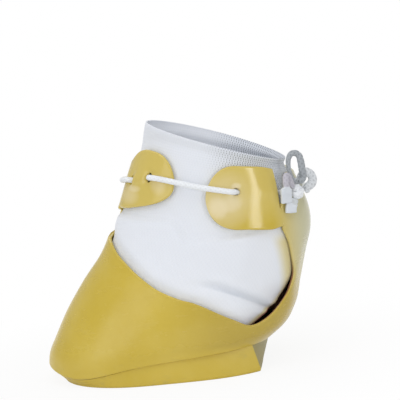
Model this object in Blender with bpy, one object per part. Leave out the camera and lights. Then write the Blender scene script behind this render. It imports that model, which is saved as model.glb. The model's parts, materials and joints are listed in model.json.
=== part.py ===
"""Cattle hoof shoe: a moulded upper on a wedge sole, a cloth sock inside, and a lace tied at the heel.

Frame: +Z up, -X to the toe, -Y to the laced side, origin on the sole's underside below the hoof.
The upper is one curved skin. A place on it has a turn, in degrees from the toe (0) by the laced
side (90) to the heel (180), a level, from the hem (0) to the sock's rim (1), and a depth, which
is the distance inwards from the outer face.
"""

import bmesh
import bpy
import numpy as np
from mathutils import Matrix, Vector

MM = 0.001

# Driving sizes of the foot: where the hem starts, and how far each end leans and rises above it
TOE_REACH = 82 * MM
HEEL_REACH = 82 * MM
TOE_HEM_HEIGHT = 12.5 * MM
HEEL_HEM_HEIGHT = 19 * MM
FRONT_LEAN = 90.5 * MM
FRONT_RISE = 166.5 * MM
HEEL_BULGE = 35.8 * MM
REAR_RISE = 123.5 * MM
UPPER_WIDTH = 125 * MM
HEM_DIP = 7 * MM

# Walls, clearances and edges
WALL = 3 * MM
SEAM_GAP = 0.3 * MM
HINGE_GAP = 0.6 * MM
EDGE_ROUND = 0.8 * MM
HINGE_STAND_OFF = 0.3 * MM

# Sole block
SOLE_TOE_REACH = TOE_REACH * 0.872
SOLE_HEEL_REACH = HEEL_REACH * 0.921
SOLE_WIDTH = UPPER_WIDTH * 0.936
SOLE_EDGE = 1.5 * MM
HEM_OVERHANG = 1.5 * MM
GROOVE_COUNT = 6
GROOVE_PITCH = 20 * MM
GROOVE_WIDTH = 5 * MM
GROOVE_DEPTH = 3 * MM
GROOVE_MARGIN = 10 * MM

# Sock
SOCK_GAP = 0.9 * MM
SOCK_WALL = 2 * MM
SOCK_FLOOR_GAP = 0.5 * MM
HEEL_SETBACK = 4.5 * MM
LACE_DENT = 4.8 * MM
DENT_WIDTH = 3 * MM
RIM_DEPTH = 0.8 * MM

# Lace
LACE_DIAMETER = 4 * MM
LACE_GAP = 0.3 * MM
LACE_PITCH = 10 * MM
EYELET_DIAMETER = 7.5 * MM
LACE_END_WIDTH = 7.6 * MM
LACE_END_THICKNESS = 3 * MM
KNOT_WIDTH = 13 * MM
KNOT_HEIGHT = 11 * MM
KNOT_THICKNESS = 9 * MM
KNOT_GROOVE = 0.9 * MM
CUT_OVERRUN = 4 * MM

# Outlines of the two ends and the width, read at these levels, as shares of the sizes above
LEVEL_SHARES = (0, 0.06, 0.15, 0.30, 0.45, 0.60, 0.75, 0.88, 1)
FRONT_LEAN_SHARES = (0, 0.017, 0.088, 0.204, 0.359, 0.541, 0.707, 0.834, 1)
FRONT_RISE_SHARES = (0, 0.045, 0.117, 0.225, 0.342, 0.465, 0.646, 0.808, 1)
HEEL_BULGE_SHARES = (0, 0.307, 0.545, 0.740, 0.908, 1, 0.986, 0.866, 0.656)
REAR_RISE_SHARES = (0, 0.065, 0.154, 0.300, 0.453, 0.591, 0.713, 0.834, 1)
WIDTH_SHARES = (0.960, 0.992, 1, 0.960, 0.904, 0.840, 0.792, 0.768, 0.752)
FRONT_SQUARENESS_SHARES = (2.2, 2.2, 2.2, 2.15, 2.1, 2.05, 2, 2, 2)
HEEL_SQUARENESS_SHARES = (3.0, 2.9, 2.7, 2.4, 2.2, 2.1, 2, 2, 2)
SOLE_SQUARENESS_SHARES = (2.2, 5.0)
DIP_TURN = 50
DIP_SPREAD_TURN = 28
DIP_LEVEL_SHARE = 0.3

# Edges of the panels, as (turn in degrees, level share)
VAMP_TOP_SHARES = (
    (0, 0.655),
    (18, 0.640),
    (34, 0.603),
    (48, 0.557),
    (62, 0.490),
    (74, 0.423),
    (94, 0.317),
    (111, 0.197),
    (125, 0.132),
    (134, 0.150),
    (147, 0.240),
)
COUNTER_EDGE_SHARES = (
    (147, 0),
    (147, 0.22),
    (149.5, 0.27),
    (152, 0.343),
    (148, 0.413),
    (143, 0.507),
    (138.5, 0.593),
    (136.5, 0.635),
    (136.5, 0.71),
    (136.5, 0.78),
    (140, 0.815),
    (146.5, 0.86),
    (150.5, 0.90),
    (155, 0.94),
    (160, 0.97),
)
CUFF_TOP_SHARES = ((0, 0.900), (30, 0.915), (60, 0.930), (100, 0.950), (147, 0.968), (180, 0.970))
FRONT_FLAP_TOP_SHARES = ((8, 0.900), (18, 0.927), (30, 0.942), (44, 0.944), (65, 0.944))
FRONT_FLAP_LOW_SHARES = ((8, 0.750), (27, 0.760), (47, 0.776), (65, 0.780))
NEAR_FLAP_TOP_SHARES = ((86, 0.950), (104, 0.950), (127, 0.960), (136, 0.957))
NEAR_FLAP_LOW_SHARES = ((86, 0.672), (112, 0.672), (120, 0.660), (131, 0.632), (136, 0.620))
LACE_LEVEL_SHARES = ((-200, 0.860), (0, 0.860), (22, 0.858), (43, 0.873), (86, 0.865), (106, 0.857), (150, 0.860))
SEAM_TURN = 147
COLUMN_TURN = 6
VAMP_ROW_SHARES = (0, 0.03, 0.1, 0.18, 0.3, 0.46, 0.64, 0.82, 0.96, 1)
SOCK_ROW_SHARES = (0.08, 0.125, 0.19, 0.29, 0.4, 0.51, 0.62, 0.71, 0.78)
SOCK_FLARE_SHARES = ((0, 0.925), (20, 0.955), (35, 0.966), (100, 0.970), (127, 0.976), (150, 0.982), (180, 0.982))
FRONT_HINGE_TURN = 8.5
REAR_HINGE_TURN = 136.2
NOTCH_LEAN_TURN = 20
NOTCH_LEVEL_SHARE = 0.78
INSOLE_LEVEL_SHARE = 0.055
DENT_TURNS = ((12, 52), (98, 146))
DENT_EASE_TURN = 6

# Flap ends: tip and shoulder turns, middle level, and the fullness of the upper and lower curve
FRONT_FLAP_END_SHARES = (64.6, 41, 0.850, 2.3, 2.0)
NEAR_FLAP_END_SHARES = (86.3, 108, 0.830, 2.1, 1.8)
END_SHARES = (0.995, 0.97, 0.92, 0.83, 0.68, 0.48, 0.24, 0)
FRONT_EYELET_TURNS = (22, 43)
NEAR_EYELET_TURN = 106.1

# Knot and bow: its place, the directions in which cords leave it, and the routes between them.
# Directions and routes run along the counter to the rear, up it and out from it.
KNOT_TURN = 151
KNOT_LEVEL_SHARE = 0.848
KNOT_STAND_OFF = 4.8 * MM
LOOP_HEIGHT = 26 * MM
LOOP_REACH = 20 * MM
LACE_END_LENGTH = 13 * MM
FAR_RUN_WAY_SHARES = (0.9, 0.25, -0.42)
REAR_RUN_WAY_SHARES = (-0.85, 0.3, -0.45)
UPPER_LOOP_WAY_SHARES = ((0.55, 0.75, -0.15), (0.3, 0.72, 0.5))
UPPER_LOOP_SHARES = (
    (0.36, 0.39, -0.10),
    (0.53, 0.60, -0.11),
    (0.60, 0.80, -0.07),
    (0.57, 0.92, 0.04),
    (0.49, 0.95, 0.16),
    (0.40, 0.89, 0.24),
    (0.32, 0.73, 0.27),
    (0.25, 0.54, 0.24),
    (0.17, 0.36, 0.20),
)
REAR_LOOP_WAY_SHARES = ((0.85, -0.15, 0.5), (-0.45, 0.6, 0.66))
REAR_LOOP_SHARES = (
    (0.46, 0.01, 0.27),
    (0.57, 0.11, 0.36),
    (0.59, 0.29, 0.46),
    (0.43, 0.48, 0.54),
    (0.16, 0.62, 0.56),
    (-0.09, 0.60, 0.51),
    (-0.22, 0.43, 0.42),
)
UPPER_END_WAY_SHARES = (-0.9, 0.2, 0.3)
UPPER_END_SHARES = ((-0.78, 0.20, 0.12), (-0.80, 0.08, -0.03), (-0.80, -0.10, -0.15), (-0.81, -0.38, -0.26))
LOWER_END_WAY_SHARES = (-0.35, -0.85, -0.1)
LOWER_END_SHARES = ((-0.32, -0.54, -0.17), (-0.44, -0.70, -0.25), (-0.60, -0.98, -0.28))
FLATTEN_SHARES = (0.2, 0.6)

# Turns at which the lace's runs start, end and pass a place
FAR_RUN_TURNS = (-199, -3)
TOE_BEND_TURNS = (-3, 13.6)
FREE_SPAN_TURNS = (56, 64, 71.5, 79, 87, 95)
UNDER_FLAP_TURNS = (118, 126)
NOTCH_TURN = 141.4
NOTCH_SPREAD_SHARE = 0.8
DIVE_SHARES = ((-1.55, -1), (-0.8, -0.93), (-0.38, -0.6), (0, 0), (0.38, 0.6), (0.8, 0.93), (1.55, 1))
SPAN_PITCH = 1.8 * MM
SPLIT = 0.45 * MM

YELLOW = (0.60, 0.46, 0.055, 1)
SOCK_WHITE = (0.80, 0.83, 0.88, 1)
LACE_WHITE = (0.82, 0.82, 0.80, 1)


def smooth_through(stations, values, at):
    """Reads a smooth curve through (station, value) at each place in at."""
    s, v, at = (np.asarray(a, float) for a in (stations, values, at))
    slope = np.gradient(v, s)
    i = np.clip(np.searchsorted(s, at, side="right") - 1, 0, len(s) - 2)
    h = s[i + 1] - s[i]
    q = (at - s[i]) / h
    start = (2 * q**3 - 3 * q**2 + 1) * v[i] + (q**3 - 2 * q**2 + q) * h * slope[i]
    return start + (3 * q**2 - 2 * q**3) * v[i + 1] + (q**3 - q**2) * h * slope[i + 1]


def along(table, at):
    """Reads a table of (station, value) rows as a smooth curve."""
    return smooth_through([row[0] for row in table], [row[1] for row in table], at)


def rounded(angle_part, power):
    """A cosine or sine made fuller, so that an oval turns towards a rectangle."""
    return np.sign(angle_part) * np.abs(angle_part) ** (2 / power)


def outer_skin(turn, level):
    """Points of the upper's outer face: an oval between the front and the rear line at each level."""
    turn, level = np.broadcast_arrays(np.asarray(turn, float), np.asarray(level, float))
    front_x = -TOE_REACH + FRONT_LEAN * smooth_through(LEVEL_SHARES, FRONT_LEAN_SHARES, level)
    front_z = TOE_HEM_HEIGHT + FRONT_RISE * smooth_through(LEVEL_SHARES, FRONT_RISE_SHARES, level)
    rear_x = HEEL_REACH + HEEL_BULGE * smooth_through(LEVEL_SHARES, HEEL_BULGE_SHARES, level)
    rear_z = HEEL_HEM_HEIGHT + REAR_RISE * smooth_through(LEVEL_SHARES, REAR_RISE_SHARES, level)
    half_width = UPPER_WIDTH / 2 * smooth_through(LEVEL_SHARES, WIDTH_SHARES, level)
    cosine, sine = np.cos(np.radians(turn)), np.sin(np.radians(turn))
    ahead = smooth_through(LEVEL_SHARES, FRONT_SQUARENESS_SHARES, level)
    behind = smooth_through(LEVEL_SHARES, HEEL_SQUARENESS_SHARES, level)
    power = np.where(cosine > 0, ahead, behind)
    back_share = (1 - rounded(cosine, power)) / 2
    fade = np.clip(1 - level / DIP_LEVEL_SHARE, 0, 1) ** 2
    dip = HEM_DIP * fade * np.exp(-(((np.abs(turn) - DIP_TURN) / DIP_SPREAD_TURN) ** 2))
    x = front_x + (rear_x - front_x) * back_share
    z = front_z + (rear_z - front_z) * back_share - dip
    return np.stack([x, -half_width * rounded(sine, power), z], -1)


def skin_directions(turn, level):
    """Unit vectors on the skin: outwards, and downwards along it."""
    turn_step, level_step = 0.6, 0.004
    across = outer_skin(turn + turn_step, level) - outer_skin(turn - turn_step, level)
    up = outer_skin(turn, level + level_step) - outer_skin(turn, level - level_step)
    out = np.cross(across, up)
    out /= np.linalg.norm(out, axis=-1, keepdims=True)
    return out, -up / np.linalg.norm(up, axis=-1, keepdims=True)


def skin(turn, level, depth=0.0):
    """Points at a depth inside the outer face, or outside it where the depth is negative."""
    turn, level, depth = np.broadcast_arrays(*(np.asarray(a, float) for a in (turn, level, depth)))
    return outer_skin(turn, level) - skin_directions(turn, level)[0] * depth[..., None]


def turn_of(length, level=0.8):
    """The turn, in degrees, that a length takes round the upper at a level."""
    ring = outer_skin(np.linspace(0, 360, 181), level)
    return 360 * length / np.linalg.norm(np.diff(ring, axis=0), axis=1).sum()


def level_of(length):
    """The share of the level that a length takes up the laced side."""
    line = outer_skin(90, np.linspace(0, 1, 101))
    return length / np.linalg.norm(np.diff(line, axis=0), axis=1).sum()


def material(name, colour, roughness):
    """A Principled material with one colour."""
    made = bpy.data.materials.new(name)
    made.use_nodes = True
    shader = made.node_tree.nodes["Principled BSDF"]
    shader.inputs["Base Color"].default_value = colour
    shader.inputs["Roughness"].default_value = roughness
    return made


def add(name, data, finish):
    """Links a mesh or curve to the scene as the object called name."""
    made = bpy.data.objects.new(name, data)
    data.materials.append(finish)
    bpy.context.scene.collection.objects.link(made)
    return made


def mesh_object(name, points, faces, finish):
    """A closed mesh from points and faces, with its faces turned outwards and its round sides smooth."""
    mesh = bpy.data.meshes.new(name)
    mesh.from_pydata([tuple(p) for p in points], [], faces)
    work = bmesh.new()
    work.from_mesh(mesh)
    bmesh.ops.recalc_face_normals(work, faces=work.faces)
    work.to_mesh(mesh)
    work.free()
    mesh.shade_smooth()
    mesh.set_sharp_from_angle(angle=np.radians(40))
    return add(name, mesh, finish)


def grid_faces(columns, rows, first=0, closed=False):
    """Quads of a grid of columns by rows whose points start at first."""
    faces = []
    for i in range(columns if closed else columns - 1):
        a, b = first + i * rows, first + (i + 1) % columns * rows
        faces += [(a + j, b + j, b + j + 1, a + j + 1) for j in range(rows - 1)]
    return faces


def panel(name, turns, levels, drop, finish):
    """A wall of the upper over a grid of turns and levels. drop rounds its free edges."""
    columns, rows = turns.shape
    outer = skin(turns, levels, drop).reshape(-1, 3)
    inner = skin(turns, levels, WALL - drop).reshape(-1, 3)
    count = columns * rows
    faces = grid_faces(columns, rows)
    faces += [tuple(count + k for k in reversed(face)) for face in grid_faces(columns, rows)]
    rim = [i * rows for i in range(columns)]
    rim += [(columns - 1) * rows + j for j in range(1, rows)]
    rim += [i * rows + rows - 1 for i in range(columns - 2, -1, -1)]
    rim += list(range(rows - 2, 0, -1))
    for a, b in zip(rim, rim[1:] + rim[:1], strict=True):
        faces.append((b, a, count + a, count + b))
    return mesh_object(name, np.vstack([outer, inner]), faces, finish)


def edge_drops(shape, low=0.0, high=0.0, start=0.0, end=0.0):
    """How far the outer face drops at each edge of a panel's grid, to round that edge."""
    drop = np.zeros(shape)
    drop[:, 0] = low
    drop[:, -1] = np.maximum(drop[:, -1], high)
    drop[0, :] = np.maximum(drop[0, :], start)
    drop[-1, :] = np.maximum(drop[-1, :], end)
    return drop


def column_turns(start, end):
    """Places of a panel's columns: its two ends, and every whole column of the upper between them."""
    first, last = np.ceil(start / COLUMN_TURN + 0.2), np.floor(end / COLUMN_TURN - 0.2)
    return np.concatenate([[start], np.arange(first, last + 1) * COLUMN_TURN, [end]])


def row_shares(count, edge_share=0.04):
    """Places of a panel's rows from its lower to its upper edge, with a narrow row at each."""
    return np.concatenate([[0], np.linspace(edge_share, 1 - edge_share, count), [1]])


def between(low, high, shares):
    """A grid of levels between a lower and an upper edge."""
    return low[:, None] + (high - low)[:, None] * shares[None, :]


def toe_vamp(finish):
    """The toe and its two side bands, from the hem to the window's lower edge."""
    turns = column_turns(-SEAM_TURN, SEAM_TURN)
    top = along(VAMP_TOP_SHARES, np.abs(turns))
    shares = np.array(VAMP_ROW_SHARES)
    levels = between(np.zeros(len(turns)), top, shares)
    grid = np.repeat(turns[:, None], len(shares), 1)
    free = np.where(turns > FRONT_HINGE_TURN, EDGE_ROUND, 0)
    return panel("toe_vamp", grid, levels, edge_drops(grid.shape, low=EDGE_ROUND, high=free), finish)


def far_wall(finish):
    """The closed wall of the far side, between the vamp and the cuff's top."""
    turns = column_turns(-SEAM_TURN, FRONT_HINGE_TURN - turn_of(HINGE_GAP) / 2)
    low = along(VAMP_TOP_SHARES, np.abs(turns)) + level_of(SEAM_GAP)
    top = along(CUFF_TOP_SHARES, np.abs(turns))
    shares = row_shares(6)
    grid = np.repeat(turns[:, None], len(shares), 1)
    return panel("far_wall", grid, between(low, top, shares), edge_drops(grid.shape, high=EDGE_ROUND), finish)


def heel_counter(finish):
    """The heel's wall, whose laced edge bounds the window, carries the near flap and ends in a notch."""
    edge_turns, edge_levels = (np.array(column, float) for column in zip(*COUNTER_EDGE_SHARES, strict=True))
    low_rows = np.array([0, 0.012, 0.07, 0.145])
    top_rows = edge_levels[-1] - level_of(EDGE_ROUND)
    levels = np.unique(np.concatenate([low_rows, edge_levels, [top_rows]]))
    laced = np.interp(levels, edge_levels, edge_turns) + turn_of(SEAM_GAP)
    far = 360 - SEAM_TURN - turn_of(SEAM_GAP)
    columns = column_turns(SEAM_TURN, 360 - SEAM_TURN)
    across = (columns - columns[0]) / (columns[-1] - columns[0])
    grid = laced[None, :] + (far - laced)[None, :] * across[:, None]
    level_grid = np.repeat(levels[None, :], len(across), 0)
    free = np.where(levels > along(VAMP_TOP_SHARES, SEAM_TURN), EDGE_ROUND, 0)
    held = (levels > NEAR_FLAP_LOW_SHARES[-1][1]) & (levels < NOTCH_LEVEL_SHARE)
    drop = edge_drops(grid.shape, low=EDGE_ROUND, high=EDGE_ROUND, start=np.where(held, 0, free))
    return panel("heel_counter", grid, level_grid, drop, finish)


def flap_levels(turns, end, top_table, low_table):
    """The lower and upper edge of a flap, which close in a rounded end."""
    tip, shoulder, middle, top_fullness, low_fullness = end
    q = np.clip((turns - shoulder) / (tip - shoulder), 0, 1)
    top_share = (1 - q**top_fullness) ** (1 / top_fullness)
    low_share = (1 - q**low_fullness) ** (1 / low_fullness)
    top, low = along(top_table, turns), along(low_table, turns)
    return middle + (low - middle) * low_share, middle + (top - middle) * top_share


def pierce(flap, turn):
    """Cuts a lace hole through a flap, square to its face."""
    level = along(LACE_LEVEL_SHARES, turn)
    out = Vector(skin_directions(turn, level)[0])
    middle = Vector(skin(turn, level, WALL / 2))
    length = WALL + 2 * CUT_OVERRUN
    work = bmesh.new()
    place = Matrix.Translation(middle) @ out.to_track_quat("Z", "Y").to_matrix().to_4x4()
    radius = EYELET_DIAMETER / 2
    bmesh.ops.create_cone(
        work,
        cap_ends=True,
        segments=16,
        radius1=radius,
        radius2=radius,
        depth=length,
        matrix=place,
    )
    mesh = bpy.data.meshes.new("eyelet_cutter")
    work.to_mesh(mesh)
    work.free()
    cutter = bpy.data.objects.new("eyelet_cutter", mesh)
    bpy.context.scene.collection.objects.link(cutter)
    cutter.hide_render = True
    cutter.display_type = "WIRE"
    cut = flap.modifiers.new("eyelet", "BOOLEAN")
    cut.operation = "DIFFERENCE"
    cut.solver = "EXACT"
    cut.object = cutter


def front_flap(finish):
    """The flap that wraps from the far side over the front, with its two lace holes."""
    tip, shoulder = FRONT_FLAP_END_SHARES[:2]
    root = FRONT_HINGE_TURN + turn_of(HINGE_GAP) / 2
    round_end = shoulder + (tip - shoulder) * np.array(END_SHARES[::-1])
    turns = np.concatenate([np.linspace(root, shoulder, 6)[:-1], round_end])
    low, top = flap_levels(turns, FRONT_FLAP_END_SHARES, FRONT_FLAP_TOP_SHARES, FRONT_FLAP_LOW_SHARES)
    shares = row_shares(6)
    grid = np.repeat(turns[:, None], len(shares), 1)
    drop = edge_drops(grid.shape, low=EDGE_ROUND, high=EDGE_ROUND, end=EDGE_ROUND)
    flap = panel("front_flap", grid, between(low, top, shares), drop, finish)
    for turn in FRONT_EYELET_TURNS:
        pierce(flap, turn)
    return flap


def near_flap(finish):
    """The flap that comes from the heel to the laced side, with its lace hole."""
    tip, shoulder = NEAR_FLAP_END_SHARES[:2]
    root = REAR_HINGE_TURN - turn_of(HINGE_GAP)
    round_end = shoulder + (tip - shoulder) * np.array(END_SHARES)
    turns = np.concatenate([round_end, np.linspace(shoulder, root, 6)[1:]])
    low, top = flap_levels(turns, NEAR_FLAP_END_SHARES, NEAR_FLAP_TOP_SHARES, NEAR_FLAP_LOW_SHARES)
    shares = row_shares(7)
    levels = between(low, top, shares)
    lean = NOTCH_LEAN_TURN * np.clip(levels - NOTCH_LEVEL_SHARE, 0, 1)
    grid = turns[:, None] + lean * ((turns - tip) / (root - tip))[:, None]
    drop = edge_drops(grid.shape, low=EDGE_ROUND, high=EDGE_ROUND, start=EDGE_ROUND)
    flap = panel("near_flap", grid, levels, drop, finish)
    pierce(flap, NEAR_EYELET_TURN)
    return flap


def fan(ring, centre, flip=False):
    """Triangles from a ring of point numbers to a centre point."""
    pairs = zip(ring, ring[1:] + ring[:1], strict=True)
    return [(b, a, centre) if flip else (a, b, centre) for a, b in pairs]


def insole_ring(turns, depth):
    """The edge of the insole, and its middle, at a depth inside the upper."""
    ring = skin(turns, INSOLE_LEVEL_SHARE, depth)
    return ring, ring.mean(0)


def sole_block(finish):
    """The wedge: it grows from its flat underside to the hem, steps in under it and ends in the insole."""
    turns = np.arange(-180, 180, COLUMN_TURN)
    cosine, sine = np.cos(np.radians(turns)), np.sin(np.radians(turns))
    power = np.where(cosine > 0, *SOLE_SQUARENESS_SHARES)
    reach = np.where(cosine > 0, SOLE_TOE_REACH, SOLE_HEEL_REACH)
    outline = np.stack([-reach * rounded(cosine, power), -SOLE_WIDTH / 2 * rounded(sine, power)], -1)
    away = outline / np.linalg.norm(outline, axis=1, keepdims=True)
    foot = np.column_stack([outline - away * SOLE_EDGE, np.zeros(len(turns))])
    side = np.column_stack([outline, np.full(len(turns), SOLE_EDGE)])
    out, down = skin_directions(turns, 0)
    hem = skin(turns, 0) + down * SEAM_GAP - out * HEM_OVERHANG
    swell = side + (hem - side) * 0.55
    ledge = skin(turns, 0, WALL + SEAM_GAP) + down * SEAM_GAP
    insole, middle = insole_ring(turns, WALL + SEAM_GAP)
    rings = [foot, side, swell, hem, ledge, insole]
    points = np.stack(rings, 1).reshape(-1, 3)
    count, rows = len(turns), len(rings)
    faces = grid_faces(count, rows, closed=True)
    points = np.vstack([points, [0, 0, 0], middle])
    faces += fan([i * rows for i in range(count)], count * rows)
    faces += fan([i * rows + rows - 1 for i in range(count)], count * rows + 1, flip=True)
    block = mesh_object("sole_block", points, faces, finish)
    cutter = tread_cutter()
    cut = block.modifiers.new("tread", "BOOLEAN")
    cut.operation = "DIFFERENCE"
    cut.solver = "EXACT"
    cut.object = cutter
    return block


def tread_cutter():
    """Slots with round ends across the sole's underside, each as long as the sole is wide there."""
    work = bmesh.new()
    around = np.radians(np.arange(0, 180, 30))
    for k in range(GROOVE_COUNT):
        x = (k - (GROOVE_COUNT - 1) / 2) * GROOVE_PITCH
        reach = SOLE_TOE_REACH if x < 0 else SOLE_HEEL_REACH
        power = SOLE_SQUARENESS_SHARES[0] if x < 0 else SOLE_SQUARENESS_SHARES[1]
        half = SOLE_WIDTH / 2 * (1 - (abs(x) / reach) ** power) ** (1 / power) - GROOVE_MARGIN
        radius = GROOVE_WIDTH / 2
        end = [(x + radius * np.cos(a), half - radius + radius * np.sin(a)) for a in around]
        end.append((x - radius, half - radius))
        ring = end + [(2 * x - px, -py) for px, py in end]
        low = [work.verts.new((px, py, -CUT_OVERRUN)) for px, py in ring]
        high = [work.verts.new((px, py, GROOVE_DEPTH)) for px, py in ring]
        work.faces.new(low[::-1])
        work.faces.new(high)
        for i in range(len(ring)):
            j = (i + 1) % len(ring)
            work.faces.new((low[i], low[j], high[j], high[i]))
    bmesh.ops.recalc_face_normals(work, faces=work.faces)
    mesh = bpy.data.meshes.new("tread_cutter")
    work.to_mesh(mesh)
    work.free()
    cutter = bpy.data.objects.new("tread_cutter", mesh)
    bpy.context.scene.collection.objects.link(cutter)
    cutter.hide_render = True
    cutter.display_type = "WIRE"
    return cutter


def ease(share):
    """Goes smoothly from 0 to 1."""
    share = np.clip(share, 0, 1)
    return share * share * (3 - 2 * share)


def sock_depth(turns, levels):
    """How deep the sock's outer face lies: under the flaps, pressed in by the lace, flared over the walls."""
    depth = np.full(np.broadcast(turns, levels).shape, WALL + SOCK_GAP)
    away = (levels - along(LACE_LEVEL_SHARES, turns)) / level_of(DENT_WIDTH)
    for start, end in DENT_TURNS:
        under = ease((turns - start) / DENT_EASE_TURN) * ease((end - turns) / DENT_EASE_TURN)
        depth = depth + LACE_DENT * under * np.exp(-(away**2))
    behind = ease((np.abs(turns) - 112) / 25) * ease((0.62 - levels) / 0.2)
    start = along(SOCK_FLARE_SHARES, np.abs(turns))
    flare = ease((levels - start) / (1 - start))
    return depth + HEEL_SETBACK * behind - (WALL + SOCK_GAP - RIM_DEPTH) * flare


def sock(finish):
    """The cloth bag round the hoof and the leg: closed below, open above."""
    turns = np.arange(-180, 180, COLUMN_TURN)
    middle = along(LACE_LEVEL_SHARES, turns)[:, None]
    near = level_of(DENT_WIDTH) * np.array([-2, -1.1, -0.5, 0, 0.5, 1.1, 2])
    low = np.repeat([SOCK_ROW_SHARES], len(turns), 0)
    flare = along(SOCK_FLARE_SHARES, np.abs(turns))[:, None]
    high = flare + (1 - flare) * np.array([0, 0.5, 1])
    levels = np.concatenate([low, middle + near, high], 1)
    grid = np.repeat(turns[:, None], levels.shape[1], 1)
    lift = np.array([0, 0, SOCK_FLOOR_GAP])
    base_depth = sock_depth(turns, np.full(len(turns), INSOLE_LEVEL_SHARE))
    outer = skin(grid, levels, sock_depth(grid, levels))
    foot = skin(turns, INSOLE_LEVEL_SHARE, base_depth) + lift
    floor = insole_ring(turns, WALL + SEAM_GAP)[1] + lift
    thick = np.array([0, 0, SOCK_WALL])
    inner = skin(grid, levels, sock_depth(grid, levels) + SOCK_WALL)
    inner_foot = skin(turns, INSOLE_LEVEL_SHARE, base_depth + SOCK_WALL) + lift + thick
    outside = np.concatenate([foot[:, None], outer], 1)
    inside = np.concatenate([inner_foot[:, None], inner], 1)
    count, rows = outside.shape[:2]
    points = np.vstack([outside.reshape(-1, 3), inside.reshape(-1, 3), floor, floor + thick])
    half = count * rows
    faces = grid_faces(count, rows, closed=True)
    faces += [tuple(reversed(face)) for face in grid_faces(count, rows, half, closed=True)]
    faces += fan([i * rows for i in range(count)], 2 * half)
    faces += fan([half + i * rows for i in range(count)], 2 * half + 1, flip=True)
    for i in range(count):
        a, b = i * rows + rows - 1, (i + 1) % count * rows + rows - 1
        faces.append((a, b, half + b, half + a))
    return mesh_object("sock", points, faces, finish)


def smooth_route(points, pitch):
    """Points a pitch apart on a smooth curve through a route's own points."""
    points = np.asarray(points, float)
    steps = np.concatenate([[0], np.cumsum(np.linalg.norm(np.diff(points, axis=0), axis=1))])
    fine = np.linspace(0, steps[-1], 40 * len(points))
    curve = np.stack([smooth_through(steps, points[:, k], fine) for k in range(3)], -1)
    run = np.concatenate([[0], np.cumsum(np.linalg.norm(np.diff(curve, axis=0), axis=1))])
    count = max(int(round(run[-1] / pitch)), 2)
    at = np.linspace(0, run[-1], count + 1)
    return np.stack([np.interp(at, run, curve[:, k]) for k in range(3)], -1)


def cord(name, points, finish):
    """A round cord along points."""
    data = bpy.data.curves.new(name, "CURVE")
    data.dimensions = "3D"
    data.bevel_depth = LACE_DIAMETER / 2
    data.bevel_resolution = 2
    data.use_fill_caps = True
    spline = data.splines.new("POLY")
    spline.points.add(len(points) - 1)
    for place, point in zip(spline.points, points, strict=True):
        place.co = (*point, 1)
    return add(name, data, finish)


def on_skin(rows):
    """Places of (turn, depth) rows at the lace's level."""
    turns = np.array([row[0] for row in rows], float)
    depths = np.array([row[1] for row in rows], float)
    return skin(turns, along(LACE_LEVEL_SHARES, turns), depths)


OUTSIDE = -(LACE_DIAMETER / 2 + LACE_GAP)
INSIDE = WALL + LACE_GAP + LACE_DIAMETER / 2
HALFWAY = WALL / 2
KNOT_HALF = np.array([KNOT_WIDTH, KNOT_HEIGHT, KNOT_THICKNESS]) / 2


def knot_place():
    """The knot's middle, and its own directions: to the rear, up and out."""
    middle = skin(KNOT_TURN, KNOT_LEVEL_SHARE, -KNOT_STAND_OFF)
    out = skin_directions(KNOT_TURN, KNOT_LEVEL_SHARE)[0]
    across = np.cross((0, 0, 1), out)
    across /= np.linalg.norm(across)
    return middle, np.array([across, np.cross(out, across), out])


def knot_port(way):
    """Two points of a cord that leaves the knot square to a plane that just clears it."""
    way = np.array(way) / np.linalg.norm(way)
    start = way * (np.linalg.norm(KNOT_HALF * way) + LACE_GAP)
    middle, axes = knot_place()
    return [middle + start @ axes, middle + (start + way * LACE_DIAMETER / 2) @ axes]


def from_knot(shares, size):
    """Route points given as shares of a size in the knot's directions."""
    middle, axes = knot_place()
    return list(middle + np.array(shares) * size @ axes)


def through(turn, side, spread=1.0):
    """A lace's places as it goes through the wall at a turn: inwards where side is 1, outwards where it is -1."""
    step = turn_of(LACE_DIAMETER) * spread
    drop = (INSIDE - OUTSIDE) / 2
    return [(turn + along_share * step, HALFWAY + side * share * drop) for along_share, share in DIVE_SHARES]


def lace_runs(finish):
    """The lace round the upper, from the knot by the far side and the flaps back to the knot."""
    gap = turn_of(LACE_GAP)
    start, end = FAR_RUN_TURNS
    count = int(round((end - start) / turn_of(LACE_PITCH)))
    far = [(turn, OUTSIDE) for turn in np.linspace(start, end - gap, count)]
    cord("lace_far_run", [*knot_port(FAR_RUN_WAY_SHARES), *on_skin(far)], finish)
    start, end = TOE_BEND_TURNS
    bend = [(turn, OUTSIDE) for turn in np.linspace(start + gap, end - gap, 4)]
    cord("lace_toe_bend", on_skin(bend), finish)
    first, second = FRONT_EYELET_TURNS
    free = [(turn, OUTSIDE) for turn in FREE_SPAN_TURNS]
    dive = through(NEAR_EYELET_TURN, 1)
    before = (NEAR_EYELET_TURN - turn_of(SPLIT) - gap, HALFWAY - SPLIT)
    after = (NEAR_EYELET_TURN + turn_of(SPLIT) + gap, HALFWAY + SPLIT)
    rows = [(end + gap, OUTSIDE), *through(first, 1), *through(second, -1), *free, *dive[:3], before]
    cord("lace_front_span", smooth_route(on_skin(rows), SPAN_PITCH), finish)
    under = [(turn, INSIDE) for turn in UNDER_FLAP_TURNS]
    rows = [after, *dive[4:], *under, *through(NOTCH_TURN, -1, NOTCH_SPREAD_SHARE)[:-2]]
    route = [*on_skin(rows), *knot_port(REAR_RUN_WAY_SHARES)[::-1]]
    cord("lace_rear_run", smooth_route(route, SPAN_PITCH), finish)


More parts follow.
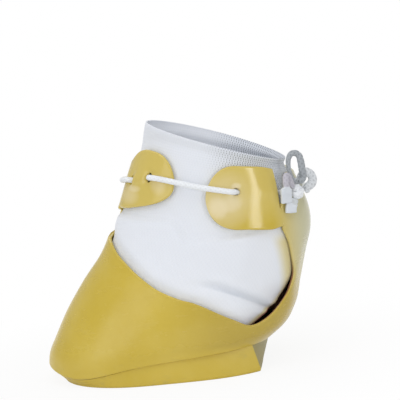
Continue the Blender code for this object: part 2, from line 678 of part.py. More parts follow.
def lace_end(name, way, shares, finish):
    """A cut end of the lace, pressed flat: a round section that widens into an oval."""
    route = [*knot_port(way), *from_knot(shares, LACE_END_LENGTH)]
    path = smooth_route(route, LACE_DIAMETER / 3)
    out = knot_place()[1][2]
    ahead = np.gradient(path, axis=0)
    ahead /= np.linalg.norm(ahead, axis=1, keepdims=True)
    side = np.cross(ahead, out)
    side /= np.linalg.norm(side, axis=1, keepdims=True)
    lift = np.cross(side, ahead)
    start, end = FLATTEN_SHARES
    flat = ease((np.linspace(0, 1, len(path)) - start) / (end - start))
    wide = LACE_DIAMETER + (LACE_END_WIDTH - LACE_DIAMETER) * flat
    thick = LACE_DIAMETER + (LACE_END_THICKNESS - LACE_DIAMETER) * flat
    around = np.radians(np.arange(0, 360, 36))
    power = (2 + flat)[:, None]
    across = wide[:, None] / 2 * rounded(np.cos(around), power)
    high = thick[:, None] / 2 * rounded(np.sin(around), power)
    rings = path[:, None] + side[:, None] * across[..., None] + lift[:, None] * high[..., None]
    points = rings.transpose(1, 0, 2)
    sides, rows = points.shape[:2]
    faces = grid_faces(sides, rows, closed=True)
    faces.append(tuple(i * rows for i in range(sides)))
    faces.append(tuple(i * rows + rows - 1 for i in reversed(range(sides))))
    return mesh_object(name, points.reshape(-1, 3), faces, finish)


def bow_knot(finish):
    """The knot: a lump crossed by grooves between the turns of the lace."""
    middle, axes = knot_place()
    lat = np.radians(np.linspace(-90, 90, 9))[1:-1]
    lon = np.radians(np.arange(0, 360, 22.5))
    lon, lat = np.meshgrid(lon, lat, indexing="ij")
    groove = KNOT_GROOVE * np.cos(2 * lon + 2.2 * lat) ** 2 * np.cos(lat)
    ball = np.stack([np.cos(lat) * np.cos(lon), np.sin(lat), np.cos(lat) * np.sin(lon)], -1)
    local = ball * (KNOT_HALF - groove[..., None])
    count, rows = local.shape[:2]
    poles = np.array([[0, -1, 0], [0, 1, 0]]) * KNOT_HALF
    local = np.vstack([local.reshape(-1, 3), poles])
    faces = grid_faces(count, rows, closed=True)
    faces += fan([i * rows for i in range(count)], count * rows)
    faces += fan([i * rows + rows - 1 for i in range(count)], count * rows + 1, flip=True)
    return mesh_object("bow_knot", middle + local @ axes, faces, finish)


def loop(name, ways, shares, size, finish):
    """A loop of the bow, from the knot and back to it."""
    route = [*knot_port(ways[0]), *from_knot(shares, size), *knot_port(ways[1])[::-1]]
    return cord(name, smooth_route(route, LACE_DIAMETER * 0.75), finish)


def bow(finish):
    """The knot, its two loops and the lace's two cut ends."""
    bow_knot(finish)
    loop("bow_loop_upper", UPPER_LOOP_WAY_SHARES, UPPER_LOOP_SHARES, LOOP_HEIGHT, finish)
    loop("bow_loop_rear", REAR_LOOP_WAY_SHARES, REAR_LOOP_SHARES, LOOP_REACH, finish)
    lace_end("lace_end_upper", UPPER_END_WAY_SHARES, UPPER_END_SHARES, finish)
    lace_end("lace_end_lower", LOWER_END_WAY_SHARES, LOWER_END_SHARES, finish)


def hinge_line(turn, low, high):
    """The straight flex line of a flap: a point and a direction just outside the wall."""
    ends = skin(turn, np.array([low, high]), -HINGE_STAND_OFF)
    bulge = skin(turn, (low + high) / 2, -HINGE_STAND_OFF) - ends.mean(0)
    out = skin_directions(turn, (low + high) / 2)[0]
    lift = max(float(bulge @ out), 0.0)
    direction = (ends[1] - ends[0]) / np.linalg.norm(ends[1] - ends[0])
    return ends.mean(0) + out * lift, direction


def build():
    """Clears the scene and makes every piece."""
    for old in list(bpy.data.objects):
        bpy.data.objects.remove(old)
    yellow = material("moulded_yellow", YELLOW, 0.34)
    cloth = material("sock_cloth", SOCK_WHITE, 0.9)
    braid = material("lace_braid", LACE_WHITE, 0.8)
    sole_block(yellow)
    toe_vamp(yellow)
    far_wall(yellow)
    heel_counter(yellow)
    front_flap(yellow)
    near_flap(yellow)
    sock(cloth)
    lace_runs(braid)
    bow(braid)
    front = hinge_line(FRONT_HINGE_TURN, FRONT_FLAP_LOW_SHARES[0][1], CUFF_TOP_SHARES[0][1])
    rear = hinge_line(REAR_HINGE_TURN, NEAR_FLAP_LOW_SHARES[-1][1], NOTCH_LEVEL_SHARE)
    for name, (place, direction) in (("front", front), ("near", rear)):
        print(name, "flap hinge", np.round(place, 5), "along", np.round(direction, 5))


build()
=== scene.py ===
# %% [markdown]
# # A hoof shoe for cattle
# The shoe is one soft yellow moulding: a wedge sole, a toe with two side bands, a closed wall on the
# far side and round the heel, and two flaps that a lace pulls together over a white cloth sock. This
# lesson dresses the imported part: every visible piece is made again as a fine surface worked out with
# numpy, and gets a finish made of shader nodes.

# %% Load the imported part
import json

import bmesh
import bpy
import numpy as np
from mathutils import Matrix, Vector


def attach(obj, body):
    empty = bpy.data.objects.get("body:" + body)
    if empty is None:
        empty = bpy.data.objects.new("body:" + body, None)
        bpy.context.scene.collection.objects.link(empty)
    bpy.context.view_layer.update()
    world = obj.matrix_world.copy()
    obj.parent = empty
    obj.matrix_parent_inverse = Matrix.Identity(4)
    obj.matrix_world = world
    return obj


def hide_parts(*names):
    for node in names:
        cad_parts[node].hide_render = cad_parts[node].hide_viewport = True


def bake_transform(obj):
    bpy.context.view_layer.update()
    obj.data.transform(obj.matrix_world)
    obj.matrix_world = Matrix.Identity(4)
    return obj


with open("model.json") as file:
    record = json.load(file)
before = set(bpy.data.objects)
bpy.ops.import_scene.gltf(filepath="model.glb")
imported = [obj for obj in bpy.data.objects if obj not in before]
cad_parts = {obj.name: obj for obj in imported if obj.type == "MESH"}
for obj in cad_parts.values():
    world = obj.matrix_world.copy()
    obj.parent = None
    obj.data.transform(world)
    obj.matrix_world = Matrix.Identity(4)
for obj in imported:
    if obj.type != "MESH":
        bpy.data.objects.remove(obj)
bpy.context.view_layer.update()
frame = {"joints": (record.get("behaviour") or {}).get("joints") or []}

MM = 0.001

# %% [markdown]
# ## Small tools
# A few sums come back in every step: a vector's own direction, the lengths along a path, and the way
# from the shoe to a camera or a lamp. Each is written once here, so that the steps stay short.

# %% Small tools used all over
def unit(vectors):
    """Vectors divided by their own lengths."""
    return vectors / np.linalg.norm(vectors, axis=-1, keepdims=True)


def steps_of(path):
    """The length of each step along a path of points."""
    return np.linalg.norm(np.diff(path, axis=0), axis=1)


def run_of(path):
    """How far along the path each point lies: the sum of the steps before it."""
    return np.concatenate([[0], np.cumsum(steps_of(path))])


def add(name, data):
    """Puts a mesh, a camera or a lamp into the scene as an object."""
    made = bpy.data.objects.new(name, data)
    bpy.context.scene.collection.objects.link(made)
    return made


def way_to(azimuth, elevation):
    """The unit vector to an azimuth, 0 at the laced side and 90 degrees at the heel, and an elevation."""
    flat = np.cos(elevation)
    return np.array([np.sin(azimuth) * flat, -np.cos(azimuth) * flat, np.sin(elevation)])


# %% [markdown]
# ## The camera
# The photograph looks at the laced side from a little above, with a long lens, and is turned a few
# degrees, so that the sole's flat underside isn't level in the picture. A camera is a place, a way to
# look and a lens. The lens follows from how many millimetres one pixel covers at the shoe.

# %% Camera
CAMERA_AZIMUTH, CAMERA_ELEVATION, CAMERA_ROLL = np.radians((5.0, 9.5, 6.83))
CAMERA_DISTANCE = 1.15
CAMERA_TARGET = np.array([0.018, 0.0, 0.085])
PICTURE_PIXELS = 400
TARGET_PIXEL = (173.8, 248.6)
PIXEL_SIZE = 0.72 * MM
SENSOR = 36.0

back = way_to(CAMERA_AZIMUTH, CAMERA_ELEVATION)
level_right = np.array([np.cos(CAMERA_AZIMUTH), np.sin(CAMERA_AZIMUTH), 0])
level_up = np.cross(back, level_right)
right = np.cos(CAMERA_ROLL) * level_right - np.sin(CAMERA_ROLL) * level_up
up = np.sin(CAMERA_ROLL) * level_right + np.cos(CAMERA_ROLL) * level_up

lens = bpy.data.cameras.new("studio_camera")
lens.sensor_width = SENSOR
lens.lens = SENSOR * CAMERA_DISTANCE / (PICTURE_PIXELS * PIXEL_SIZE)
lens.shift_x = 0.5 - TARGET_PIXEL[0] / PICTURE_PIXELS
lens.shift_y = TARGET_PIXEL[1] / PICTURE_PIXELS - 0.5
camera = add("studio_camera", lens)
turned = np.eye(4)
turned[:3] = np.column_stack([right, up, back, CAMERA_TARGET + back * CAMERA_DISTANCE])
camera.matrix_world = Matrix(turned.tolist())
bpy.context.scene.camera = camera
print("lens", round(lens.lens, 1), "mm, shift", round(lens.shift_x, 4), round(lens.shift_y, 4))

# %% [markdown]
# ## The shoe's skin
# The upper is one smooth skin that leans back from the toe and bulges over the heel. It could be
# sculpted by hand, but then the panels, the flaps and the sock would each need fitting. Here it is a
# function of two numbers: the turn, in degrees from the toe by the laced side (90) to the heel (180),
# and the level, from the hem (0) to the sock's rim (1). A third number, the depth, goes inwards. Each
# table below has one value for each of the nine levels.

# %% Tables of the foot
LEVELS = (0, 0.06, 0.15, 0.30, 0.45, 0.60, 0.75, 0.88, 1)
TOE_REACH, TOE_HEM, FRONT_LEAN, FRONT_RISE = 82 * MM, 12.5 * MM, 90.5 * MM, 166.5 * MM
HEEL_REACH, HEEL_HEM, HEEL_BULGE, REAR_RISE = 82 * MM, 19 * MM, 35.8 * MM, 123.5 * MM
HALF_UPPER = 62.5 * MM
FRONT_X = -TOE_REACH + FRONT_LEAN * np.array((0, 0.017, 0.088, 0.204, 0.359, 0.541, 0.707, 0.834, 1))
FRONT_Z = TOE_HEM + FRONT_RISE * np.array((0, 0.045, 0.117, 0.225, 0.342, 0.465, 0.646, 0.808, 1))
REAR_X = HEEL_REACH + HEEL_BULGE * np.array((0, 0.307, 0.545, 0.740, 0.908, 1, 0.986, 0.866, 0.656))
REAR_Z = HEEL_HEM + REAR_RISE * np.array((0, 0.065, 0.154, 0.300, 0.453, 0.591, 0.713, 0.834, 1))
HALF_WIDTH = HALF_UPPER * np.array((0.960, 0.992, 1, 0.960, 0.904, 0.840, 0.792, 0.768, 0.752))
FRONT_FULLNESS = (2.2, 2.2, 2.2, 2.15, 2.1, 2.05, 2, 2, 2)
HEEL_FULLNESS = (3.0, 2.9, 2.7, 2.4, 2.2, 2.1, 2, 2, 2)
HEEL_TUCK = MM * np.array((0, 0, 0.8, 2.0, 2.4, 0.4, 0, 0, 0))
TUCK_TURN, TUCK_SPREAD = 151, 18
HEM_DIP, DIP_TURN, DIP_SPREAD, DIP_LEVEL = 7 * MM, 50, 28, 0.3


# %% Curves
def smooth_through(stations, values, at):
    """A cubic between each two stations, whose slope at a station is that of its neighbours' chord."""
    s, v, at = (np.asarray(a, float) for a in (stations, values, at))
    slope = np.gradient(v, s)
    i = np.clip(np.searchsorted(s, at, side="right") - 1, 0, len(s) - 2)
    h = s[i + 1] - s[i]
    q = (at - s[i]) / h
    start = (2 * q**3 - 3 * q**2 + 1) * v[i] + (q**3 - 2 * q**2 + q) * h * slope[i]
    return start + (3 * q**2 - 2 * q**3) * v[i + 1] + (q**3 - q**2) * h * slope[i + 1]


def along(table, at):
    """A smooth curve through a table of (station, value) rows."""
    return smooth_through(*zip(*table, strict=True), at)


def fuller(part, power):
    """A cosine or sine by its size to the power 2 / power: an oval turns to a rectangle."""
    return np.sign(part) * np.abs(part) ** (2 / power)


def ease(share):
    """3 s^2 - 2 s^3, held between 0 and 1."""
    share = np.clip(share, 0, 1)
    return share * share * (3 - 2 * share)


def plateau(at, start, end, rise, fall):
    """1 between start and end, eased in over the width rise and out over the width fall."""
    return ease((at - start) / rise) * ease((end - at) / fall)


def hill(away):
    """exp(-away^2): a smooth hill of height 1."""
    return np.exp(-np.square(away))


# %% The skin and its directions
def outer_skin(turn, level):
    """x and z go from the front line to the rear line by (1 - cosine) / 2, y is half the width by the sine.

    The hem dips where the quarters are, and the heel is tucked in by a length per level.
    """
    turn, level = np.broadcast_arrays(np.asarray(turn, float), np.asarray(level, float))
    tables = (FRONT_X, FRONT_Z, REAR_X, REAR_Z, HALF_WIDTH, FRONT_FULLNESS, HEEL_FULLNESS, HEEL_TUCK)
    x0, z0, x1, z1, half, ahead, behind, tuck = (smooth_through(LEVELS, table, level) for table in tables)
    cosine, sine = np.cos(np.radians(turn)), np.sin(np.radians(turn))
    power = np.where(cosine > 0, ahead, behind)
    share = (1 - fuller(cosine, power)) / 2
    round_turn = np.abs((turn + 180) % 360 - 180)
    low = np.clip(1 - level / DIP_LEVEL, 0, 1) ** 2
    dip = HEM_DIP * low * hill((round_turn - DIP_TURN) / DIP_SPREAD)
    x = x0 + (x1 - x0) * share - tuck * ease((round_turn - TUCK_TURN) / TUCK_SPREAD)
    return np.stack([x, -half * fuller(sine, power), z0 + (z1 - z0) * share - dip], -1)


def skin_directions(turn, level):
    """The unit vector out of the skin, from the cross product of its two small steps, and the one down it."""
    turn_step, level_step = 0.6, 0.004
    across = outer_skin(turn + turn_step, level) - outer_skin(turn - turn_step, level)
    rise = outer_skin(turn, level + level_step) - outer_skin(turn, level - level_step)
    return unit(np.cross(across, rise)), -unit(rise)


def skin(turn, level, depth=0.0):
    """The outer skin moved inwards by a depth, or outwards where the depth is negative."""
    turn, level, depth = np.broadcast_arrays(*(np.asarray(a, float) for a in (turn, level, depth)))
    return outer_skin(turn, level) - skin_directions(turn, level)[0] * depth[..., None]


def turn_of(length, level=0.8):
    """The degrees that a length takes round the upper: 360 times the length over the girth."""
    return 360 * length / steps_of(outer_skin(np.linspace(0, 360, 181), level)).sum()


def level_of(length):
    """The share of the level that a length takes up the laced side."""
    return length / steps_of(outer_skin(90, np.linspace(0, 1, 101))).sum()


SKIN_SCALE = np.array([1 / turn_of(1.0), 1 / level_of(1.0)])
print("mm in one degree and up the laced side:", np.round(SKIN_SCALE / MM, 2))

# %% [markdown]
# ## Meshes from arrays
# Every piece comes out of the same few steps: points on a grid, four-sided faces between them, and a
# UV place for each corner. A grid that ends in a point has faces with a repeated corner, which become
# triangles. The volume under all faces says whether they point outwards.

# %% From points and faces to an object
def grid_quads(columns, rows, closed=False):
    """Corner numbers of the cells of a grid whose points run up each column in turn."""
    i = np.arange(columns if closed else columns - 1)[:, None]
    j = np.arange(rows - 1)[None, :]
    a, b = i * rows, (i + 1) % columns * rows
    return np.stack([a + j, b + j, b + j + 1, a + j + 1], -1).reshape(-1, 4)


def pointed_quads(columns, rows):
    """The cells of a closed grid whose lowest points are one point, and whose highest are another."""
    quads = grid_quads(columns, rows, closed=True)
    quads = np.where(quads % rows == 0, 0, quads)
    return np.where(quads % rows == rows - 1, rows - 1, quads)


def volume_of(points, quads):
    """A sixth of the sum of the triple products of every face's corners: positive if they face outwards."""
    p = points[quads]
    first = np.einsum("ij,ij->i", p[:, 0], np.cross(p[:, 1], p[:, 2]))
    second = np.einsum("ij,ij->i", p[:, 0], np.cross(p[:, 2], p[:, 3]))
    return (first + second).sum() / 6


def make(name, points, quads, uvs, finish, slot, sharp=42, body=None, replaced=()):
    """A shown piece at the origin, from points, faces of four corners and the UV of each corner."""
    if volume_of(points, quads) < 0:
        quads, uvs = quads[:, ::-1], uvs[:, ::-1]
    same = quads == np.roll(quads, -1, 1)
    whole, thin = ~same.any(1), same.sum(1) == 1
    faces = quads[whole].tolist() + quads[thin][~same[thin]].reshape(-1, 3).tolist()
    corners = np.concatenate([uvs[whole].reshape(-1, 2), uvs[thin][~same[thin]]])
    used, flat = np.unique([k for face in faces for k in face], return_inverse=True)
    sizes = np.cumsum([0] + [len(face) for face in faces])
    faces = [flat[a:b].tolist() for a, b in zip(sizes[:-1], sizes[1:], strict=True)]
    mesh = bpy.data.meshes.new(name)
    mesh.from_pydata(points[used].tolist(), [], faces)
    mesh.uv_layers.new(name="along").data.foreach_set("uv", corners.ravel())
    mesh.shade_smooth()
    mesh.set_sharp_from_angle(angle=np.radians(sharp))
    mesh.materials.append(finish)
    made = add(name, mesh)
    if body:
        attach(made, body)
    if replaced:
        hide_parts(*replaced)
    print(name, len(mesh.polygons), "faces", [round(v / MM, 1) for v in made.dimensions], "mm")
    return made


# %% [markdown]
# ## Shader sums as plain sums
# A material is a graph of nodes. Written node by node it is long and hard to read, so one small class
# wraps a socket and lets Python's own signs add the Math nodes. Colours go through Mix nodes.

# %% Nodes written as expressions
class Socket:
    """One output of a node, on which sums and products can be written."""

    def __init__(self, graph, link):
        self.graph, self.link = graph, link

    def math(self, operation, *others):
        """A Math node's operation on this and on others, which are sockets or numbers."""
        return self.graph.node("Math", {"operation": operation}, [self, *others])

    def __add__(self, other):
        return self.math("ADD", other)

    def __sub__(self, other):
        return self.math("SUBTRACT", other)

    def __rsub__(self, other):
        return self.graph.node("Math", {"operation": "SUBTRACT"}, [other, self])

    def __mul__(self, other):
        return self.math("MULTIPLY", other)

    __radd__ = __add__
    __rmul__ = __mul__

    def ramp(self, low, high, to_low=0.0, to_high=1.0):
        """Goes smoothly from to_low where this is low to to_high where it is high."""
        settings = {"interpolation_type": "SMOOTHSTEP"}
        return self.graph.node("MapRange", settings, [self, low, high, to_low, to_high])

    def fade(self, low, high):
        """1 - ramp: 1 where this is low and 0 where it is high."""
        return 1 - self.ramp(low, high)


class Graph:
    """The nodes of a material or a world."""

    def __init__(self, owner, shader="Principled BSDF"):
        owner.use_nodes = True
        self.owner, self.tree = owner, owner.node_tree
        self.shader = self.tree.nodes[shader]

    def put(self, socket, value):
        """Links a socket to a value that is a Socket, or sets it to a plain one."""
        if isinstance(value, Socket):
            self.tree.links.new(value.link, socket)
        elif isinstance(value, tuple) and len(value) == 3 and socket.type == "RGBA":
            socket.default_value = (*value, 1)
        else:
            socket.default_value = value

    def node(self, kind, settings=None, values=(), output=0):
        """Adds a node of a kind, with its settings first, then its inputs by place or by name."""
        made = self.tree.nodes.new("ShaderNode" + kind)
        for key, value in (settings or {}).items():
            setattr(made, key, value)
        pairs = values.items() if isinstance(values, dict) else enumerate(values)
        for key, value in pairs:
            self.put(made.inputs[key], value)
        return Socket(self, made.outputs[output])

    def uv(self):
        """The piece's own UV map, in metres on the upper and the sock."""
        return self.node("UVMap", {"uv_map": "along"})

    def place(self):
        """The place on the object, in metres."""
        return self.node("TexCoord", output="Object")

    def axes(self, where, *numbers):
        """Some of a place's x (0), y (1) and z (2)."""
        return [self.node("SeparateXYZ", {}, [where], number) for number in numbers]

    def noise(self, where, scale, detail=3.0, roughness=0.5):
        """Soft noise from 0 to 1, with about scale clouds in a metre."""
        values = {"Vector": where, "Scale": scale, "Detail": detail, "Roughness": roughness}
        return self.node("TexNoise", {}, values, "Fac")

    def blend(self, first, *layers):
        """A colour with (share, colour) layers laid over it, one after the other."""
        for share, second in layers:
            made = self.tree.nodes.new("ShaderNodeMix")
            made.data_type = "RGBA"
            for number, value in ((0, share), (6, first), (7, second)):
                self.put(made.inputs[number], value)
            first = Socket(self, made.outputs[2])
        return first

    def seen_as(self, *rays):
        """1 for either of two kinds of ray and 0 for all others."""
        one, two = (self.node("LightPath", output=f"Is {ray} Ray") for ray in rays)
        return one.math("MAXIMUM", two)

    def stretch(self, where, scale):
        """A place whose axes are multiplied by three numbers."""
        return self.node("Mapping", {}, {"Vector": where, "Scale": scale})

    def bump(self, height, distance, strength=1.0):
        """A normal tilted by the slope of a height that counts as a distance in metres."""
        return self.node("Bump", {}, {"Height": height, "Distance": distance, "Strength": strength})

    def finish(self, **sockets):
        """Sets the shader's own sockets, named with _ for a space."""
        for name, value in sockets.items():
            self.put(self.shader.inputs[name.replace("_", " ")], value)
        print(self.owner.name, "has", len(self.tree.nodes), "nodes")
        return self.owner


# %% [markdown]
# ## The lace's finish
# The lace is a soft round braid of bleached yarn. Its strands are in the mesh, so the finish only adds
# the fibres along each strand, painted shade in the grooves between them, and some dirt. The bow's
# loops and ends get darker grey copies of the same finish, as painted shade where they lie in shadow.
# The ends were melted, so they are clean and plain from a given way along. One unit of v is 10 mm of
# lace.

# %% Braided lace
LACE_DIAMETER = 4 * MM
STRAND_PITCH = 3.4 * MM
STRANDS = 4
UV_LENGTH = 10 * MM


def braid_finish(name, groove, crown, soiled, clean_from=None):
    """From the groove's colour, which is painted shade, to the crown's by the larger of two |cosine| waves
    and the fibre noise.
    """
    graph = Graph(bpy.data.materials.new(name))
    uv, place = graph.uv(), graph.place()
    fibre = graph.noise(graph.stretch(uv, (1200.0, 30.0, 1.0)), 1.0, 2.0)
    dirt = graph.noise(place, 60.0, 3.0).ramp(0.52, 0.75)
    turn, run = graph.axes(uv, 0, 1)
    turn, ahead = turn * (STRANDS * np.pi), run * (np.pi * UV_LENGTH / STRAND_PITCH)
    one, two = ((turn + side).math("COSINE").math("ABSOLUTE") for side in (ahead, ahead * -1))
    strand = one.math("MAXIMUM", two).ramp(0.45, 0.95)
    layers = [(fibre.ramp(0.25, 0.7) * 0.5 + strand * 0.5, crown), (dirt * soiled, (0.46, 0.45, 0.42))]
    if clean_from is not None:
        layers.append((run.ramp(clean_from - 0.1, clean_from), (0.70, 0.74, 0.79)))
    return graph.finish(
        Base_Color=graph.blend(groove, *layers),
        Roughness=0.82,
        Sheen_Weight=0.15,
        Sheen_Roughness=0.5,
        Normal=graph.bump(fibre, 0.12 * MM, 0.6),
    )


# The main lace is white. The bow's four finishes below are darker grey copies of it: painted shade where the
# loops and ends lie in shadow.
braid = braid_finish("lace_braid", (0.79, 0.81, 0.84), (0.90, 0.93, 0.97), 0.2)
shaded_bow_braid = braid_finish("lace_bow", (0.24, 0.26, 0.28), (0.43, 0.46, 0.49), 0.4)
pale_braid = braid_finish("lace_bow_pale", (0.50, 0.52, 0.54), (0.80, 0.83, 0.86), 0.3)
upper_tab = braid_finish("lace_tab_upper", (0.40, 0.39, 0.45), (0.58, 0.56, 0.62), 0.3, clean_from=2.0)
lower_tab = braid_finish("lace_tab_lower", (0.60, 0.63, 0.66), (0.70, 0.74, 0.76), 0.3, clean_from=0.7)

# %% [markdown]
# ## Tubes along a path
# A cord is a circle carried along a path. At each point of the path the circle stands square to the
# way ahead, held upright by one fixed direction that the path never follows. The braid's strands are
# two families of waves that wind round the tube in opposite senses, and the higher of the two shows.

# %% Routes and tubes
FINE_PITCH = 0.45 * MM
STRAND_DEPTH = 0.2 * MM


def resampled(points, pitch=FINE_PITCH):
    """Points a pitch apart on the smooth curve through a route's own points."""
    points = np.asarray(points, float)
    steps = run_of(points)
    fine = np.linspace(0, steps[-1], 60 * len(points))
    curve = np.stack([smooth_through(steps, points[:, k], fine) for k in range(3)], -1)
    run = run_of(curve)
    at = np.linspace(0, run[-1], max(int(round(run[-1] / pitch)), 2) + 1)
    return np.stack([np.interp(at, run, curve[:, k]) for k in range(3)], -1)


def length_of(path):
    """The sum of a path's steps."""
    return float(steps_of(path).sum())


def braid_relief(run, angle):
    """The higher of two waves, cos(n angle + k run) and cos(n angle - k run), which take turns on top."""
    k = 2 * np.pi / STRAND_PITCH
    one, two = ((STRANDS * angle + side * k * run) / 2 for side in (1, -1))
    over = np.sin(one) * np.sin(two) > 0
    wave = np.where(over, np.abs(np.cos(one)), np.abs(np.cos(two)))
    return STRAND_DEPTH * (np.sqrt(wave) - 1)


def tube(name, path, upright, width=LACE_DIAMETER, thick=LACE_DIAMETER, fullness=2.0, relief=1.0,
         dome=1.4 * MM, sides=32, finish=braid, **given):
    """An oval of width by thick, made fuller by a power, carried along a path and closed by two domes."""
    path, count, run = np.asarray(path), len(path), run_of(path)
    ahead = unit(np.gradient(path, axis=0))
    side = unit(np.cross(ahead, upright))
    lift = np.cross(side, ahead)
    shape = [np.broadcast_to(np.asarray(a, float), count)[:, None] for a in (width, thick, fullness, relief)]
    width, thick, fullness, relief = shape
    swell = np.sqrt(np.clip(np.minimum(run, run[-1] - run) / dome, 0, 1))[:, None]
    angle = np.linspace(0, 2 * np.pi, sides, endpoint=False)[None, :]
    grow = swell * (1 + relief * braid_relief(run[:, None], angle) / (LACE_DIAMETER / 2))
    across = grow * width / 2 * fuller(np.cos(angle), fullness)
    high = grow * thick / 2 * fuller(np.sin(angle), fullness)
    rings = path[:, None] + side[:, None] * across[..., None] + lift[:, None] * high[..., None]
    points = rings.transpose(1, 0, 2).reshape(-1, 3)
    i, j = np.divmod(np.arange(sides * (count - 1)), count - 1)
    turn = np.stack([i, i + 1, i + 1, i], -1) / sides
    uvs = np.stack([turn, run[np.stack([j, j, j + 1, j + 1], -1)] / UV_LENGTH], -1)
    return make(name, points, pointed_quads(sides, count), uvs, finish, "lace", sharp=180, **given)


# %% [markdown]
# ## The knot and the bow
# The lace is tied behind the laced side in a bow, with one loop that stands up and one that hangs to
# the rear. Its two ends were melted flat so that they don't fray. The loops leave the knot, bend round
# and go back into it. Each is a tube along a route of points in mm from the knot's middle: along the
# counter to the rear, up it, and out from it.

# %% The knot's place and ports
WALL = 3 * MM
LACE_GAP = 0.3 * MM
KNOT_HALF = np.array([13, 11, 9]) * MM / 2
KNOT_TURN, KNOT_LEVEL, KNOT_STAND_OFF = 151, 0.848, 4.8 * MM

knot_middle = skin(KNOT_TURN, KNOT_LEVEL, -KNOT_STAND_OFF)
knot_out = skin_directions(KNOT_TURN, KNOT_LEVEL)[0]
knot_across = unit(np.cross((0, 0, 1), knot_out))
knot_axes = np.array([knot_across, np.cross(knot_out, knot_across), knot_out])
print("knot at", np.round(knot_middle / MM, 1), "mm")


def from_knot(route):
    """Route points in mm turned into places: the knot's middle plus each number times its axis."""
    return list(knot_middle + np.array(route) * MM @ knot_axes)


def knot_port(way):
    """Two points of a cord that leaves the knot square to a plane that just clears it."""
    way = unit(np.array(way))
    start = way * (np.linalg.norm(KNOT_HALF * way) + LACE_GAP)
    return [knot_middle + start @ knot_axes, knot_middle + (start + way * LACE_DIAMETER / 2) @ knot_axes]


# %% The two loops
UPPER_LOOP_WAYS = ((0.45, 0.8, 0.4), (-0.1, 0.98, 0.05))
UPPER_LOOP = (
    (6.0, 8.0, 4.0), (5.4, 14.0, 5.5), (5.7, 20.0, 6.2), (5.8, 24.0, 5.8), (4.2, 26.2, 4.6),
    (1.8, 26.4, 2.8), (0.0, 24.2, 1.2), (-1.4, 20.0, 0.2), (-1.8, 15.0, -0.2), (-1.3, 10.0, 0.0),
)
UPPER_WIDTHS = ((0, 4.2), (0.25, 5.2), (0.5, 4.4), (0.7, 3.4), (1, 3.2))
REAR_LOOP_WAYS = ((0.9, -0.1, 0.3), (0.35, 0.9, -0.25))
REAR_LOOP = (
    (9.5, 0.8, 2.2), (13.6, 2.2, 3.4), (16.6, 5.2, 4.0), (16.4, 8.6, 3.8), (13.6, 11.0, 3.2),
    (10.4, 11.2, 2.4), (7.8, 9.4, 1.4), (5.6, 7.4, 0.2),
)
REAR_WIDTHS = ((0, 4.0), (0.22, 6.6), (0.5, 7.0), (0.78, 6.0), (1, 3.6))
LOOP_RELIEF = 1.8


def loop(name, ways, route, widths, thick, finish):
    """A tube from the knot, round its loop and back to the knot, pressed flatter in the loop's own plane."""
    start, end = (knot_port(way) for way in ways)
    path = resampled([*start, *from_knot(route), *end[::-1]])
    flat_way = np.linalg.svd(path - path.mean(0))[2][2]
    width = along(widths, np.linspace(0, 1, len(path))) * MM
    shape = (width, thick, 2.0, LOOP_RELIEF)
    return tube(name, path, flat_way, *shape, finish=finish, body="shoe", replaced=[name]), path


upper_loop = loop("bow_loop_upper", UPPER_LOOP_WAYS, UPPER_LOOP, UPPER_WIDTHS, 3.6 * MM, shaded_bow_braid)
rear_loop = loop("bow_loop_rear", REAR_LOOP_WAYS, REAR_LOOP, REAR_WIDTHS, 3.2 * MM, pale_braid)

# %% The two cut ends
UPPER_END_WAY, LOWER_END_WAY = (-0.7, 0.7, 0.15), (-0.55, -0.75, -0.1)
UPPER_END = (
    (-5.7, 9.0, 0.8), (-7.5, 12.3, 1.3), (-10.0, 12.5, 1.7), (-11.8, 9.4, 1.7), (-12.3, 5.6, 1.3),
    (-12.4, 1.8, -0.3), (-11.7, -1.8, -1.9), (-11.4, -5.4, -3.2),
)
LOWER_END = ((-5.0, -5.4, -1.0), (-7.6, -7.2, -1.9), (-8.6, -9.8, -2.9), (-9.0, -13.0, -3.7))
TAB_WIDTH, TAB_THICKNESS, TAB_EASE = 8.2 * MM, 2.8 * MM, 2.5 * MM
TAB_FACE, TAB_FULLNESS, TAB_DOME, TAB_SIDES = (0.45, -0.85, 0.15), 5, 0.35 * MM, 48


def cut_end(name, way, route, tab_length, strand_width, strand_thickness, finish):
    """A strand that turns flat and square over its last stretch, and ends in a straight cut."""
    path = resampled([*knot_port(way), *from_knot(route)], FINE_PITCH / 2)
    run = np.linspace(0, length_of(path), len(path))
    flat = ease((run - run[-1] + tab_length) / TAB_EASE)
    width = strand_width + (TAB_WIDTH - strand_width) * flat
    thick = strand_thickness + (TAB_THICKNESS - strand_thickness) * flat
    shape = (width, thick, 2 + (TAB_FULLNESS - 2) * flat, 1 - flat, TAB_DOME, TAB_SIDES)
    print(name, "is", round(run[-1] / MM, 1), "mm long")
    return tube(name, path, TAB_FACE, *shape, finish=finish, body="shoe", replaced=[name])


upper_end = cut_end("lace_end_upper", UPPER_END_WAY, UPPER_END, 12 * MM, 4.8 * MM, 3.2 * MM, upper_tab)
lower_end = cut_end(
    "lace_end_lower", LOWER_END_WAY, LOWER_END, 10 * MM, LACE_DIAMETER, LACE_DIAMETER, lower_tab
)

# %% The turns of the knot
RING_HALF = KNOT_HALF - LACE_DIAMETER / 2


def knot_turn(name, normal, half, replaced=()):
    """A ring of lace on an oval: cosine times one half size plus sine times another, in a tilted plane."""
    normal = unit(np.array(normal, float))
    one = unit(np.cross(normal, (0.3, 1, 0.2)))
    two = np.cross(normal, one)
    angle = np.linspace(0, 2 * np.pi, 73)[:, None]
    path = knot_middle + ((np.cos(angle) * one + np.sin(angle) * two) * half) @ knot_axes
    return tube(name, path, normal @ knot_axes, sides=28, body="shoe", replaced=replaced)


knot_turns = [
    knot_turn("bow_knot_band", (0.75, 0.35, 0.25), RING_HALF, ["bow_knot"]),
    knot_turn("bow_knot_cross", (-0.35, 0.8, 0.3), RING_HALF * 0.97),
    knot_turn("bow_knot_face", (0.25, -0.3, 0.9), RING_HALF * np.array([1, 1, 0.7])),
]
